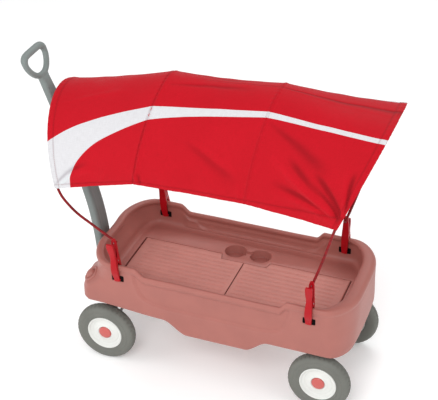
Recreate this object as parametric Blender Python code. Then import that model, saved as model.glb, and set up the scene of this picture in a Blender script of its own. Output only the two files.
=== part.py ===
"""Kids pull wagon with a clip-on canopy. Metres, +Z up, the wheels stand on z = 0.

-X is the front (pull handle) and +X the rear; in piece names "near" is -Y and "far" is +Y.
All coordinates are design coordinates: make() shifts every piece by SHIFT_X, which centres
the overall length on x = 0. Pieces named "c_..." are helpers of the boolean modifiers.
"""

import math

import bmesh
import bpy
from mathutils import Vector

# ---------------------------------------------------------------- shared dimensions
SHIFT_X = 0.105510
GAP = 0.0003  # clearance between neighbouring solids
SIDES = (("near", -1), ("far", 1))
ENDS = (("front", -1), ("rear", 1))

WHEEL_R = 0.118
AXLE_X = {"front": -0.445, "rear": 0.408}
AXLE_R = 0.006
AXLE_HALF = 0.2145

FLOOR_X = 0.012  # middle of the floor
FLOOR_Z = 0.3605
POCKET_Z = 0.3475  # bottom of the seat panel pocket
UNDERSIDE_Z = 0.3420  # underside of the tub
MOUNT_Z = UNDERSIDE_Z - GAP  # top of the parts mounted below the tub

PANEL_T = 0.0124
PANEL_Y0, PANEL_Y1 = -0.170, 0.112
HINGE_X = 0.4085  # seat panel hinge, distance from the middle of the floor
HINGE_Z = POCKET_Z + GAP + PANEL_T / 2
HINGE_ROD_R = 0.0030
HINGE_BORE_Y = (PANEL_Y0 - 0.010, PANEL_Y1 + 0.010)

HANDLE_PIVOT_X, HANDLE_PIVOT_Z = -0.532, 0.185
HANDLE_PIN_R = 0.0050

CLIP_X = {"front": -0.370, "rear": 0.368}
CLIP_LEAN = {"front": math.radians(-6.0), "rear": 0.0}  # the front clips lean forwards
HOLE_Z = 0.407  # centre of the clip holes
ROD_U, ROD_Z = 0.2109, 0.553  # canopy rod pin, distance from the centre plane and height
ROD_PIN_R = 0.0020


# ---------------------------------------------------------------- materials
def srgb(*channels):
    """Linear colour from 0-255 sRGB channels."""
    return tuple(
        c / 12.92 if c <= 0.04045 else ((c + 0.055) / 1.055) ** 2.4
        for c in (channel / 255 for channel in channels)
    )


def material(name, color, roughness, metallic=0.0):
    mat = bpy.data.materials.new(name)
    mat.use_nodes = True
    inputs = mat.node_tree.nodes["Principled BSDF"].inputs
    inputs["Base Color"].default_value = (*color, 1.0)
    inputs["Roughness"].default_value = roughness
    inputs["Metallic"].default_value = metallic
    return mat


for old in list(bpy.data.objects):
    bpy.data.objects.remove(old, do_unlink=True)

BODY = material("body_plastic", srgb(182, 118, 110), roughness=0.45)
PANEL = material("panel_plastic", srgb(193, 125, 116), roughness=0.5)
GREY = material("grey_plastic", srgb(118, 117, 114), roughness=0.5)
TYRE = material("tyre_grey", srgb(112, 113, 107), roughness=0.8)
HUB = material("hub_plastic", srgb(231, 232, 227), roughness=0.4)
CAP = material("cap_red", srgb(196, 90, 84), roughness=0.4)
CLIP = material("clip_red", srgb(199, 17, 40), roughness=0.35)
ROD = material("rod_red", srgb(120, 20, 24), roughness=0.35)
STEEL = material("zinc_steel", (0.55, 0.56, 0.58), roughness=0.35, metallic=1.0)
DARK = material("dark_steel", (0.06, 0.065, 0.065), roughness=0.5, metallic=1.0)
FABRIC = material("canopy_fabric", srgb(204, 27, 45), roughness=0.85)


# ---------------------------------------------------------------- outlines
def circle(center_a, center_b, radius, segments):
    turns = [2 * math.pi * i / segments for i in range(segments)]
    return [(center_a + radius * math.cos(t), center_b + radius * math.sin(t)) for t in turns]


def rounded_rect(a0, b0, a1, b1, radius, steps=5):
    """Rectangle from (a0, b0) to (a1, b1) with `steps` edges in each round corner."""
    low_a, low_b, high_a, high_b = a0 + radius, b0 + radius, a1 - radius, b1 - radius
    corners = ((high_a, high_b, 0), (low_a, high_b, 90), (low_a, low_b, 180), (high_a, low_b, 270))
    points = []
    for center_a, center_b, start in corners:
        for i in range(steps + 1):
            turn = math.radians(start + 90 * i / steps)
            points.append((center_a + radius * math.cos(turn), center_b + radius * math.sin(turn)))
    return points


def thick_line(points, thickness):
    """Outline of constant thickness along a polyline."""
    left, right = [], []
    for i, point in enumerate(points):
        before = Vector(points[max(i - 1, 0)])
        after = Vector(points[min(i + 1, len(points) - 1)])
        along = (after - before).normalized()
        offset = Vector((-along.y, along.x)) * (thickness / 2)
        left.append(tuple(Vector(point) + offset))
        right.append(tuple(Vector(point) - offset))
    return left + right[::-1]


def ease(t):
    """Smooth step from 0 to 1."""
    t = max(0.0, min(1.0, t))
    return t * t * (3 - 2 * t)


# ---------------------------------------------------------------- solids
def loft(rings, loop=False):
    """Points and faces through rings of equal count, capped or closed on itself."""
    count, total = len(rings[0]), len(rings)
    verts = [point for ring in rings for point in ring]
    faces = []
    for i in range(total if loop else total - 1):
        j = (i + 1) % total
        for k in range(count):
            k2 = (k + 1) % count
            faces.append((i * count + k, i * count + k2, j * count + k2, j * count + k))
    if not loop:
        faces.append(tuple(range(count)))
        faces.append(tuple((total - 1) * count + k for k in range(count)))
    return verts, faces


def sweep(path, sections, side_hint=(0, 1, 0), loop=False):
    """Loft of one section of (side, normal) offsets per path point."""
    rings, last = [], len(path) - 1
    for i, point in enumerate(path):
        if loop:
            before, after = path[i - 1], path[(i + 1) % len(path)]
        else:
            before, after = path[max(i - 1, 0)], path[min(i + 1, last)]
        along = (Vector(after) - Vector(before)).normalized()
        side = Vector(side_hint)
        side = (side - along * side.dot(along)).normalized()
        normal = along.cross(side).normalized()
        rings.append([tuple(Vector(point) + side * u + normal * w) for u, w in sections[i]])
    return loft(rings, loop)


def wire(path, radius, segments, side_hint):
    """Round rod along a path."""
    return sweep(path, [circle(0, 0, radius, segments)] * len(path), side_hint)


def leaned(point, angle):
    """Turn a point about +Y around the front clip holes."""
    point = Vector(point)
    if not angle:
        return point
    x, z = point.x - CLIP_X["front"], point.z - HOLE_Z
    return Vector((
        CLIP_X["front"] + x * math.cos(angle) + z * math.sin(angle),
        point.y,
        HOLE_Z - x * math.sin(angle) + z * math.cos(angle),
    ))


def make(name, geometry, mat=None, origin=(0, 0, 0), lean=0.0):
    """Object from (points, faces) in design coordinates; without material, a boolean helper."""
    verts, faces = geometry
    origin = leaned(origin, lean)
    bm = bmesh.new()
    bm_verts = [bm.verts.new(leaned(vert, lean) - origin) for vert in verts]
    for face in faces:
        bm.faces.new([bm_verts[i] for i in face])
    bmesh.ops.recalc_face_normals(bm, faces=bm.faces[:])
    mesh = bpy.data.meshes.new(name)
    bm.to_mesh(mesh)
    bm.free()
    obj = bpy.data.objects.new(name, mesh)
    obj.location = origin + Vector((SHIFT_X, 0, 0))
    bpy.context.scene.collection.objects.link(obj)
    if mat:
        mesh.materials.append(mat)
        mesh.shade_smooth()
        mesh.set_sharp_from_angle(angle=math.radians(35))
    else:
        obj.hide_render = True
        obj.display_type = "WIRE"
    return obj


def prism(name, outline, axis, low, high, mat=None, origin=(0, 0, 0), lean=0.0):
    """Outline extruded along `axis`; it is in the next two axes: x: y,z / y: z,x / z: x,y."""
    shift = {"x": 1, "y": 2, "z": 0}[axis]
    rings = []
    for level in sorted((low, high)):
        ring = []
        for a, b in outline:
            point = [0, 0, 0]
            point[shift], point[(shift + 1) % 3], point[(shift + 2) % 3] = a, b, level
            ring.append(tuple(point))
        rings.append(ring)
    return make(name, loft(rings), mat, origin, lean)


def cylinder(name, axis, center, radius, low, high, mat=None, segments=16,
             origin=(0, 0, 0), lean=0.0):
    outline = circle(*center, radius, segments)
    return prism(name, outline, axis, low, high, mat, origin, lean)


def box(name, xs, ys, zs, mat=None, origin=(0, 0, 0)):
    y0, y1 = sorted(ys)
    outline = [(xs[0], y0), (xs[1], y0), (xs[1], y1), (xs[0], y1)]
    return prism(name, outline, "z", *zs, mat, origin)


def boolean(obj, helper, operation):
    modifier = obj.modifiers.new(helper.name, "BOOLEAN")
    modifier.operation = operation
    modifier.object = helper
    modifier.solver = "EXACT"


def cut(obj, helper):
    boolean(obj, helper, "DIFFERENCE")


def join(obj, helper):
    boolean(obj, helper, "UNION")


# ---------------------------------------------------------------- tub shell
RIM_HIGH = 0.465  # rim height at both ends
RIM_LOW = 0.4365  # rim height along the middle
SKIRT_Z = 0.256
SKIRT_MID_Z = 0.205
SKIRT_FRONT_RISE = 0.016
WALL_Z = 0.386  # where the inner wall starts to follow the rim
CORNER_X = 0.72  # corners reach this much as far along X as along Y
CORNER_STEPS, END_STEPS = 5, 3
END_BOW = 0.010  # how far the ends fall back towards the sides
SIDE_X = [-0.311, -0.299, -0.285, -0.271, -0.259, -0.195, -0.160, -0.110,
          0.125, 0.175, 0.250, 0.259, 0.268, 0.277, 0.287]  # stations along the sides


def middle(x, front_start, front_length, rear_start, rear_length):
    """1 along the middle of the tub, easing to 0 towards both ends."""
    return ease((x - front_start) / front_length) - ease((x - rear_start) / rear_length)


def rim_z(x):
    return RIM_HIGH - (RIM_HIGH - RIM_LOW) * middle(x, -0.308, 0.046, 0.253, 0.032)


def skirt_z(x):
    z = SKIRT_Z + SKIRT_FRONT_RISE * ease((-0.195 - x) / 0.28)
    return z - (SKIRT_Z - SKIRT_MID_Z) * middle(x, -0.200, 0.10, 0.125, 0.09)


def wall_z(x):
    return WALL_Z + (rim_z(x) - 0.030 - WALL_Z) * 0.6


def rim(depth):
    return lambda x: rim_z(x) - depth


def skirt(height):
    return lambda x: skirt_z(x) + height


# From the floor up the inside, over the rim, down the skirt and back under the floor:
# half width, front x, rear x, front corner, rear corner, z (or function of x), waist
TUB_SECTIONS = [
    (0.1994, -0.4260, 0.4380, 0.055, 0.055, FLOOR_Z, 0),
    (0.2164, -0.4380, 0.4500, 0.070, 0.072, 0.3635, 0),
    (0.2264, -0.4450, 0.4570, 0.080, 0.082, 0.3725, 0),
    (0.2302, -0.4490, 0.4610, 0.088, 0.092, WALL_Z, 0),
    (0.2302, -0.4630, 0.4680, 0.108, 0.112, wall_z, 0),
    (0.2299, -0.4720, 0.4720, 0.120, 0.122, rim(0.021), 0),
    (0.2249, -0.4740, 0.4690, 0.128, 0.130, rim(0.012), 0),
    (0.2256, -0.4770, 0.4750, 0.132, 0.134, rim(0.004), 0),
    (0.2299, -0.4840, 0.4860, 0.137, 0.140, rim(0.001), 0),
    (0.2340, -0.4915, 0.4975, 0.143, 0.146, rim(0.0), 0),
    (0.2385, -0.5000, 0.5090, 0.147, 0.150, rim(0.002), 0),
    (0.2412, -0.5050, 0.5170, 0.149, 0.152, rim(0.008), 0),
    (0.2416, -0.5065, 0.5205, 0.149, 0.152, rim(0.015), 0),
    (0.2405, -0.5050, 0.5205, 0.148, 0.151, rim(0.021), 0),
    (0.2380, -0.4995, 0.5200, 0.145, 0.149, rim(0.026), 0),
    (0.2366, -0.4975, 0.5205, 0.140, 0.146, rim(0.036), 0.002),
    (0.2364, -0.4970, 0.5205, 0.128, 0.142, 0.398, 0.004),
    (0.2362, -0.5060, 0.5205, 0.110, 0.138, 0.375, 0.005),
    (0.2360, -0.5220, 0.5205, 0.088, 0.132, 0.357, 0.005),
    (0.2358, -0.5360, 0.5203, 0.070, 0.126, 0.341, 0.005),
    (0.2354, -0.5410, 0.5200, 0.062, 0.120, 0.318, 0.005),
    (0.2339, -0.5410, 0.5195, 0.060, 0.112, 0.282, 0.005),
    (0.2329, -0.5380, 0.5165, 0.058, 0.108, skirt(0.008), 0.005),
    (0.2299, -0.5330, 0.5135, 0.054, 0.104, skirt(0.0), 0.005),
    (0.2269, -0.5300, 0.5105, 0.052, 0.100, skirt(0.0005), 0.005),
    (0.2284, -0.5350, 0.5130, 0.055, 0.103, skirt(0.010), 0.005),
    (0.2289, -0.5360, 0.5135, 0.056, 0.106, 0.284, 0.005),
    (0.2304, -0.5350, 0.5155, 0.058, 0.112, 0.316, 0.005),
    (0.2308, -0.5300, 0.5160, 0.064, 0.118, 0.336, 0.005),
    (0.2308, -0.5190, 0.5155, 0.072, 0.122, UNDERSIDE_Z, 0.005),
]


def tub_ring(half_width, front_x, rear_x, front_corner, rear_corner, z, waist):
    """Rounded rectangle with bowed ends; `waist` draws the middle of the sides in."""
    front_reach, rear_reach = front_corner * CORNER_X, rear_corner * CORNER_X
    side_x0, side_x1 = front_x + front_reach, rear_x - rear_reach
    front_y, rear_y = half_width - front_corner, half_width - rear_corner

    def side(xs, sign):
        return [(x, sign * (half_width - waist * middle(x, -0.300, 0.045, 0.245, 0.045)))
                for x in xs]

    def corner(x, y, reach, radius, start, steps):
        turns = [math.radians(start + 90 * i / CORNER_STEPS) for i in steps]
        return [(x + reach * math.cos(t), y + radius * math.sin(t)) for t in turns]

    def end(x, y):
        return [(x, -y + 2 * y * i / END_STEPS) for i in range(1, END_STEPS)]

    after_side, before_side = range(1, CORNER_STEPS + 1), range(CORNER_STEPS)
    points = [
        *side([side_x0, *SIDE_X, side_x1], -1),
        *corner(side_x1, -rear_y, rear_reach, rear_corner, -90, after_side),
        *end(rear_x, rear_y),
        *corner(side_x1, rear_y, rear_reach, rear_corner, 0, before_side),
        *side([side_x1, *SIDE_X[::-1], side_x0], 1),
        *corner(side_x0, front_y, front_reach, front_corner, 90, after_side),
        *end(front_x, -front_y),
        *corner(side_x0, -front_y, front_reach, front_corner, 180, before_side),
    ]
    ring = []
    for x, y in points:
        bow = END_BOW * (y / half_width) ** 2
        if x > side_x1:
            x -= bow * (x - side_x1) / rear_reach
        elif x < side_x0:
            x += bow * (side_x0 - x) / front_reach
        ring.append((x, y, z(x) if callable(z) else z))
    return ring


# ---------------------------------------------------------------- tub details
FOOTWELL_HALF = 0.165
FOOTWELL_Y0, FOOTWELL_Y1 = -0.1650, 0.0850
FOOTWELL_WALL = 0.0045
POCKET_HALF = 0.4190
POCKET_GAP = 0.0015  # around the seat panels
CUP_X, CUP_Y = (-0.0430, 0.0585), 0.1455
CUP_R, CUP_WALL = 0.0455, 0.004
END_HOLLOW_HALF = 0.095
END_HOLLOWS = {  # (z, x) of the hollows in the end walls
    "front": [(0.330, -0.4885), (0.330, -0.4560), (0.3600, -0.4560),
              (0.4360, -0.4810), (0.4360, -0.4885)],
    "rear": [(0.330, 0.5150), (0.4380, 0.5150), (0.4380, 0.4850),
             (0.3600, 0.4690), (0.330, 0.4690)],
}
HOLE_HALF_X, HOLE_HALF_Z = 0.024, 0.0135  # rectangular clip holes
DOME_PLACE = (-0.5060, 0.1850, 0.3620)
DOME_NORMAL = (-0.45, 0.40, 0.80)
DOME_PROFILE = ((0.0200, -0.006), (0.0200, 0.0020), (0.0165, 0.0075),
                (0.0105, 0.0110), (0.0020, 0.0125))  # radius, height


def add_footwell(tub):
    outer = rounded_rect(FLOOR_X - FOOTWELL_HALF, FOOTWELL_Y0,
                         FLOOR_X + FOOTWELL_HALF, FOOTWELL_Y1, 0.022)
    half = FOOTWELL_HALF - FOOTWELL_WALL
    inner = rounded_rect(FLOOR_X - half, FOOTWELL_Y0 + FOOTWELL_WALL,
                         FLOOR_X + half, FOOTWELL_Y1 - FOOTWELL_WALL, 0.018)
    join(tub, prism("c_footwell_out", outer, "z", 0.2130, 0.3450))
    cut(tub, prism("c_footwell_in", inner, "z", 0.2180, 0.3550))


def cut_panel_pocket(tub):
    """Pocket for both seat panels, with a notch at the middle of its far edge."""
    y0, y1 = PANEL_Y0 - POCKET_GAP, PANEL_Y1 + POCKET_GAP
    outline = [(-POCKET_HALF, y0), (POCKET_HALF, y0), (POCKET_HALF, y1), (0.099, y1),
               (0.089, 0.0800), (-0.089, 0.0800), (-0.099, y1), (-POCKET_HALF, y1)]
    outline = [(FLOOR_X + x, y) for x, y in outline]
    cut(tub, prism("c_panel_pocket", outline, "z", POCKET_Z, 0.380))


def add_cups(tub):
    """Two round cups joined by a shallow notch."""
    for i, x in enumerate(CUP_X):
        center = (x, CUP_Y)
        join(tub, cylinder(f"c_cup_out_{i}", "z", center, CUP_R, 0.3200, 0.3450, segments=24))
        cut(tub, cylinder(f"c_cup_in_{i}", "z", center, CUP_R - CUP_WALL, 0.3245, 0.3750,
                          segments=24))
    notch = rounded_rect(-0.022, 0.130, 0.038, 0.160, 0.008, 3)
    cut(tub, prism("c_cup_notch", notch, "z", 0.3460, 0.3720))


def cut_handle_recess(tub):
    """Recess in the nose for the pull handle, with a backing block."""
    block = rounded_rect(-0.5330, -0.1060, -0.4845, 0.1060, 0.004, 2)
    recess = rounded_rect(-0.6200, -0.1000, -0.4915, 0.1000, 0.012, 3)
    rim_recess = rounded_rect(-0.6200, -0.0900, -0.5035, 0.0900, 0.008, 3)
    join(tub, prism("c_recess_block", block, "z", 0.2640, 0.3440))
    cut(tub, prism("c_recess", recess, "z", 0.2300, 0.4400))
    cut(tub, prism("c_recess_rim", rim_recess, "z", 0.4300, 0.4900))


def cut_clip_holes(tub):
    for end, x in CLIP_X.items():
        outline = rounded_rect(HOLE_Z - HOLE_HALF_Z, x - HOLE_HALF_X,
                               HOLE_Z + HOLE_HALF_Z, x + HOLE_HALF_X, 0.004, 2)
        for side, sign in SIDES:
            cut(tub, prism(f"c_clip_{end}_{side}", outline, "y", sign * 0.220, sign * 0.245))


def add_domes(tub):
    """Domes on the nose shoulders."""
    x, y, z = DOME_PLACE
    for _, sign in SIDES:
        center = Vector((x, sign * y, z))
        normal = Vector((DOME_NORMAL[0], sign * DOME_NORMAL[1], DOME_NORMAL[2])).normalized()
        across = normal.cross(Vector((1, 0, 0))).normalized()
        other = normal.cross(across)
        rings = [
            [tuple(center + normal * height + across * a + other * b)
             for a, b in circle(0, 0, radius, 20)]
            for radius, height in DOME_PROFILE
        ]
        join(tub, make(f"c_dome_{sign}", loft(rings)))


def build_tub():
    tub = make("tub_body", loft([tub_ring(*section) for section in TUB_SECTIONS]), BODY)
    add_footwell(tub)
    cut_panel_pocket(tub)
    add_cups(tub)
    for end, outline in END_HOLLOWS.items():
        cut(tub, prism(f"c_end_{end}", outline, "y", -END_HOLLOW_HALF, END_HOLLOW_HALF))
    cut_handle_recess(tub)
    cut_clip_holes(tub)
    for _, sign in ENDS:
        cut(tub, cylinder(f"c_hinge_{sign}", "y", (HINGE_Z, FLOOR_X + sign * HINGE_X),
                          HINGE_ROD_R + GAP, *HINGE_BORE_Y))
    add_domes(tub)


# ---------------------------------------------------------------- seat panels
PANEL_INNER_X = 0.0015  # panel edge, distance from the middle of the floor
NOSE_STEPS = 8
PANEL_NOTCH = [(-0.005, 0.0785), (0.0897, 0.0785), (0.1005, 0.1120),
               (0.1005, 0.1300), (-0.005, 0.1300)]  # distance from the middle, y
CORE_X = (0.1080, 0.3950)  # hollow underneath
CORE_EDGE = 0.004
CORE_DEPTH = 0.0086


def build_seat_panel(end, sign):
    radius = PANEL_T / 2
    top, bottom = HINGE_Z + radius, HINGE_Z - radius
    profile = []  # z, distance from the middle; it starts with the round nose at the hinge
    for i in range(NOSE_STEPS + 1):
        turn = math.radians(90 + 180 * i / NOSE_STEPS)
        profile.append((HINGE_Z + radius * math.sin(turn), HINGE_X - radius * math.cos(turn)))
    profile += [(bottom, PANEL_INNER_X), (top, PANEL_INNER_X)]
    profile = [(z, FLOOR_X + sign * x) for z, x in profile]
    hinge_x = FLOOR_X + sign * HINGE_X
    panel = prism(f"seat_panel_{end}", profile, "y", PANEL_Y0, PANEL_Y1, PANEL,
                  (hinge_x, 0, HINGE_Z))

    notch = [(FLOOR_X + sign * x, y) for x, y in PANEL_NOTCH]
    cut(panel, prism(f"c_panel_notch_{end}", notch, "z", 0.33, 0.39))
    core_x0, core_x1 = sorted(FLOOR_X + sign * x for x in CORE_X)
    core = rounded_rect(core_x0, PANEL_Y0 + CORE_EDGE, core_x1, PANEL_Y1 - CORE_EDGE, 0.006, 2)
    cut(panel, prism(f"c_panel_core_{end}", core, "z", 0.33, bottom + CORE_DEPTH))
    cut(panel, cylinder(f"c_panel_bore_{end}", "y", (HINGE_Z, hinge_x), HINGE_ROD_R + GAP,
                        *HINGE_BORE_Y))
    cylinder(f"panel_hinge_rod_{end}", "y", (HINGE_Z, hinge_x), HINGE_ROD_R,
             PANEL_Y0 - 0.0095, PANEL_Y1 + 0.0095, STEEL)


# ---------------------------------------------------------------- running gear
KINGPIN_R = 0.008
KINGPIN_PROFILE = ((0.0135, 0.2030), (0.0135, 0.2105), (KINGPIN_R, 0.2105),
                   (KINGPIN_R, 0.3300))  # radius, z
LEG_OUTLINE = [(0.2200, -0.020), (0.2200, 0.024), (0.1180, 0.014), (0.1020, 0.008),
               (0.1020, -0.008), (0.1180, -0.014)]  # z, x from the front axle
BRACKET_OUTLINE = [(MOUNT_Z, -0.055), (MOUNT_Z, 0.030), (0.1350, 0.016), (0.1080, 0.014),
                   (0.0980, 0.006), (0.0980, -0.006), (0.1080, -0.014),
                   (0.1350, -0.016)]  # z, x from the rear axle
LEG_Y = (0.1395, 0.1535)
ARM_Y = (0.0425, 0.0505)
BRACKET_Y = (0.1395, 0.1475)
FLANGE_Y = (0.112, 0.146)
AXLE_BORE_HALF = 0.17


def build_bolster():
    """Block under the tub that holds the kingpin, hollowed from below."""
    x = AXLE_X["front"]
    bolster = box("front_bolster", (x - 0.0135, x + 0.060), (-0.060, 0.060),
                  (0.2350, MOUNT_Z), DARK)
    hollows = ((-0.0095, (-0.055, -0.016)), (-0.0095, (0.016, 0.055)), (0.016, (-0.012, 0.012)))
    for i, (start, ys) in enumerate(hollows):
        cut(bolster, box(f"c_bolster_{i}", (x + start, x + 0.055), ys, (0.22, 0.336)))
    cut(bolster, cylinder("c_bolster_bore", "z", (x, 0), KINGPIN_R + GAP, 0.20, 0.3305,
                          segments=20))


def build_kingpin():
    x = AXLE_X["front"]
    rings = [[(*point, z) for point in circle(x, 0, radius, 20)]
             for radius, z in KINGPIN_PROFILE]
    make("kingpin", loft(rings), STEEL, (x, 0, 0.2))


def build_axle_carrier():
    """Steering beam with a leg at each end and two arms that hold the pull handle."""
    x, pivot_x = AXLE_X["front"], HANDLE_PIVOT_X
    carrier = box("front_axle_carrier", (x - 0.022, x + 0.026), (-0.1540, 0.1540),
                  (0.2110, 0.2340), DARK, (x, 0, 0.22))
    leg = [(z, x + offset) for z, offset in LEG_OUTLINE]
    arm = [(0.2335, x + 0.020), (0.2335, x - 0.060), (0.2050, pivot_x - 0.013),
           (0.1760, pivot_x - 0.013), (0.1690, pivot_x + 0.004), (0.1900, x - 0.020),
           (0.2150, x + 0.020)]
    for i, (_, sign) in enumerate(SIDES):
        join(carrier, prism(f"c_leg_{i}", leg, "y", sign * LEG_Y[0], sign * LEG_Y[1]))
        join(carrier, prism(f"c_arm_{i}", arm, "y", sign * ARM_Y[0], sign * ARM_Y[1]))
    cut(carrier, cylinder("c_carrier_kingpin", "z", (x, 0), KINGPIN_R + GAP, 0.20, 0.25,
                          segments=20))
    cut(carrier, cylinder("c_carrier_axle", "y", (WHEEL_R, x), AXLE_R + GAP,
                          -AXLE_BORE_HALF, AXLE_BORE_HALF))
    cut(carrier, cylinder("c_carrier_handle", "y", (HANDLE_PIVOT_Z, pivot_x),
                          HANDLE_PIN_R + GAP, -0.07, 0.07))


def build_rear_bracket(side, sign):
    x = AXLE_X["rear"]
    outline = [(z, x + offset) for z, offset in BRACKET_OUTLINE]
    bracket = prism(f"rear_axle_bracket_{side}", outline, "y",
                    sign * BRACKET_Y[0], sign * BRACKET_Y[1], DARK)
    join(bracket, box(f"c_rear_flange_{side}", (x - 0.052, x + 0.027),
                      [sign * y for y in FLANGE_Y], (0.3365, 0.3416)))
    cut(bracket, cylinder(f"c_rear_bore_{side}", "y", (WHEEL_R, x), AXLE_R + GAP,
                          -AXLE_BORE_HALF, AXLE_BORE_HALF))


def build_axles():
    origins = {"front": (AXLE_X["front"], 0, WHEEL_R), "rear": (0, 0, 0)}
    for end, x in AXLE_X.items():
        cylinder(f"{end}_axle", "y", (WHEEL_R, x), AXLE_R, -AXLE_HALF, AXLE_HALF, STEEL,
                 origin=origins[end])


# ---------------------------------------------------------------- wheels
WHEEL_SEGMENTS = 18
TRACK_IN = 0.178  # |y| that the profile offsets start from
# Profiles: radius to the flats, outward offset from TRACK_IN
TYRE_PROFILE = [
    (0.0703, 0.004), (0.0703, 0.044), (0.0900, 0.0475), (0.1095, 0.0465), (0.1168, 0.0400),
    (WHEEL_R, 0.0330), (WHEEL_R, 0.0150), (0.1168, 0.0080), (0.1095, 0.0015), (0.0900, 0.0005),
]
RIM_PROFILE = [
    (0.0064, -0.0125), (0.0180, -0.0125), (0.0200, 0.0120), (0.0640, 0.0150), (0.0700, 0.0040),
    (0.0700, 0.0440), (0.0640, 0.0460), (0.0600, 0.0330), (0.0290, 0.0370), (0.0064, 0.0370),
]
CAP_PROFILE = [(0.0001, 0.0373), (0.0250, 0.0373), (0.0235, 0.0430), (0.0150, 0.0465),
               (0.0001, 0.0472)]
WHEEL_PARTS = (  # name, profile, material, open along the axle
    ("tyre", TYRE_PROFILE, TYRE, True),
    ("wheel_rim", RIM_PROFILE, HUB, True),
    ("hub_cap", CAP_PROFILE, CAP, False),
)


def lathe(name, profile, axle_x, sign, mat, loop):
    """Body of revolution about an axle, with a flat facet at its foot."""
    turns = [2 * math.pi * (i + 0.5) / WHEEL_SEGMENTS for i in range(WHEEL_SEGMENTS)]
    rings = []
    for radius, offset in profile:
        y = sign * (TRACK_IN + offset)
        reach = radius / math.cos(math.pi / WHEEL_SEGMENTS)
        rings.append([(axle_x + reach * math.sin(t), y, WHEEL_R - reach * math.cos(t))
                      for t in turns])
    make(name, loft(rings, loop), mat, (axle_x, 0, WHEEL_R))


def build_wheels():
    for end, x in AXLE_X.items():
        for side, sign in SIDES:
            for part, profile, mat, loop in WHEEL_PARTS:
                lathe(f"{part}_{end}_{side}", profile, x, sign, mat, loop)


# ---------------------------------------------------------------- pull handle
HANDLE_ORIGIN = (HANDLE_PIVOT_X, 0, HANDLE_PIVOT_Z)
SHAFT = [  # x, z, half width in Y, half thickness
    (-0.5320, 0.1680, 0.0300, 0.0120), (-0.5320, 0.1760, 0.0400, 0.0165),
    (-0.5320, 0.2000, 0.0400, 0.0170), (-0.5330, 0.2800, 0.0400, 0.0170),
    (-0.5370, 0.3700, 0.0400, 0.0170), (-0.5470, 0.4600, 0.0398, 0.0170),
    (-0.5630, 0.5500, 0.0390, 0.0170), (-0.5860, 0.6370, 0.0380, 0.0168),
    (-0.6170, 0.7300, 0.0360, 0.0162), (-0.6540, 0.8300, 0.0330, 0.0155),
    (-0.7010, 0.9600, 0.0280, 0.0148), (-0.7400, 1.0550, 0.0235, 0.0140),
]
GRIP_HALF = [  # y, distance along the shaft's line; the far half of the grip loop
    (0.000, 0.008), (0.018, 0.010), (0.036, 0.017), (0.053, 0.031), (0.066, 0.050),
    (0.0725, 0.070), (0.070, 0.087), (0.059, 0.0975), (0.042, 0.1010), (0.021, 0.1015),
]
GRIP_TOP = (0.0, 0.1015)
GRIP_START = 0.0100  # from the shaft's end to where the grip distances start
GRIP_R, GRIP_SWELL = 0.0112, 0.0026  # the loop is thicker at its top
STEM_START, STEM_STEP = 0.0005, 0.007
STEM_SECTIONS = ((0.0235, 0.0138), (0.0245, 0.0125), (0.0290, 0.0105))  # half width, thickness


def build_handle_shaft():
    path = [(x, 0, z) for x, z, _, _ in SHAFT]
    sections = [
        rounded_rect(-width, -thick, width, thick, min(width, thick) * 0.55, 3)
        for _, _, width, thick in SHAFT
    ]
    shaft = make("handle_shaft", sweep(path, sections), GREY, HANDLE_ORIGIN)
    center = (HANDLE_PIVOT_Z, HANDLE_PIVOT_X)
    cut(shaft, cylinder("c_shaft_bore", "y", center, HANDLE_PIN_R + GAP, -0.06, 0.06))
    cylinder("handle_pivot_pin", "y", center, HANDLE_PIN_R, -0.0545, 0.0545, STEEL,
             origin=HANDLE_ORIGIN)


def build_handle_grip():
    """Closed loop in line with the shaft's top, with a stem that meets the shaft."""
    top = Vector((SHAFT[-1][0], 0, SHAFT[-1][1]))
    along = (top - Vector((SHAFT[-2][0], 0, SHAFT[-2][1]))).normalized()
    base = top + along * GRIP_START
    points = GRIP_HALF + [GRIP_TOP] + [(-y, t) for y, t in GRIP_HALF[:0:-1]]
    path = [tuple(base + along * t + Vector((0, y, 0))) for y, t in points]
    sections = [circle(0, 0, GRIP_R + GRIP_SWELL * ease((t - 0.070) / 0.025), 12)
                for _, t in points]
    normal = along.cross(Vector((0, 1, 0))).normalized()
    grip = make("handle_grip", sweep(path, sections, normal, loop=True), GREY, HANDLE_ORIGIN)

    stem = top + along * STEM_START
    stem_path = [tuple(stem + along * (STEM_STEP * i)) for i in range(len(STEM_SECTIONS))]
    stem_sections = [rounded_rect(-width, -thick, width, thick, 0.007, 3)
                     for width, thick in STEM_SECTIONS]
    join(grip, make("c_stem", sweep(stem_path, stem_sections)))


# ---------------------------------------------------------------- clips
CLIP_U, CLIP_Z = 0.2349, 0.487  # clip pivot, distance from the centre plane and height
CLIP_HALF = 0.0135  # half length of a clip in X
HOOK_HALF = 0.0115
ARM_T, LEVER_T = 0.0058, 0.0055
CLIP_PIN_R, CLIP_PIN_HALF = 0.0025, 0.0148
COIL_R, COIL_WIRE_R, COIL_HALF = 0.0041, 0.0006, 0.0052
COIL_TURNS, COIL_STEPS = 3, 8
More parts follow.
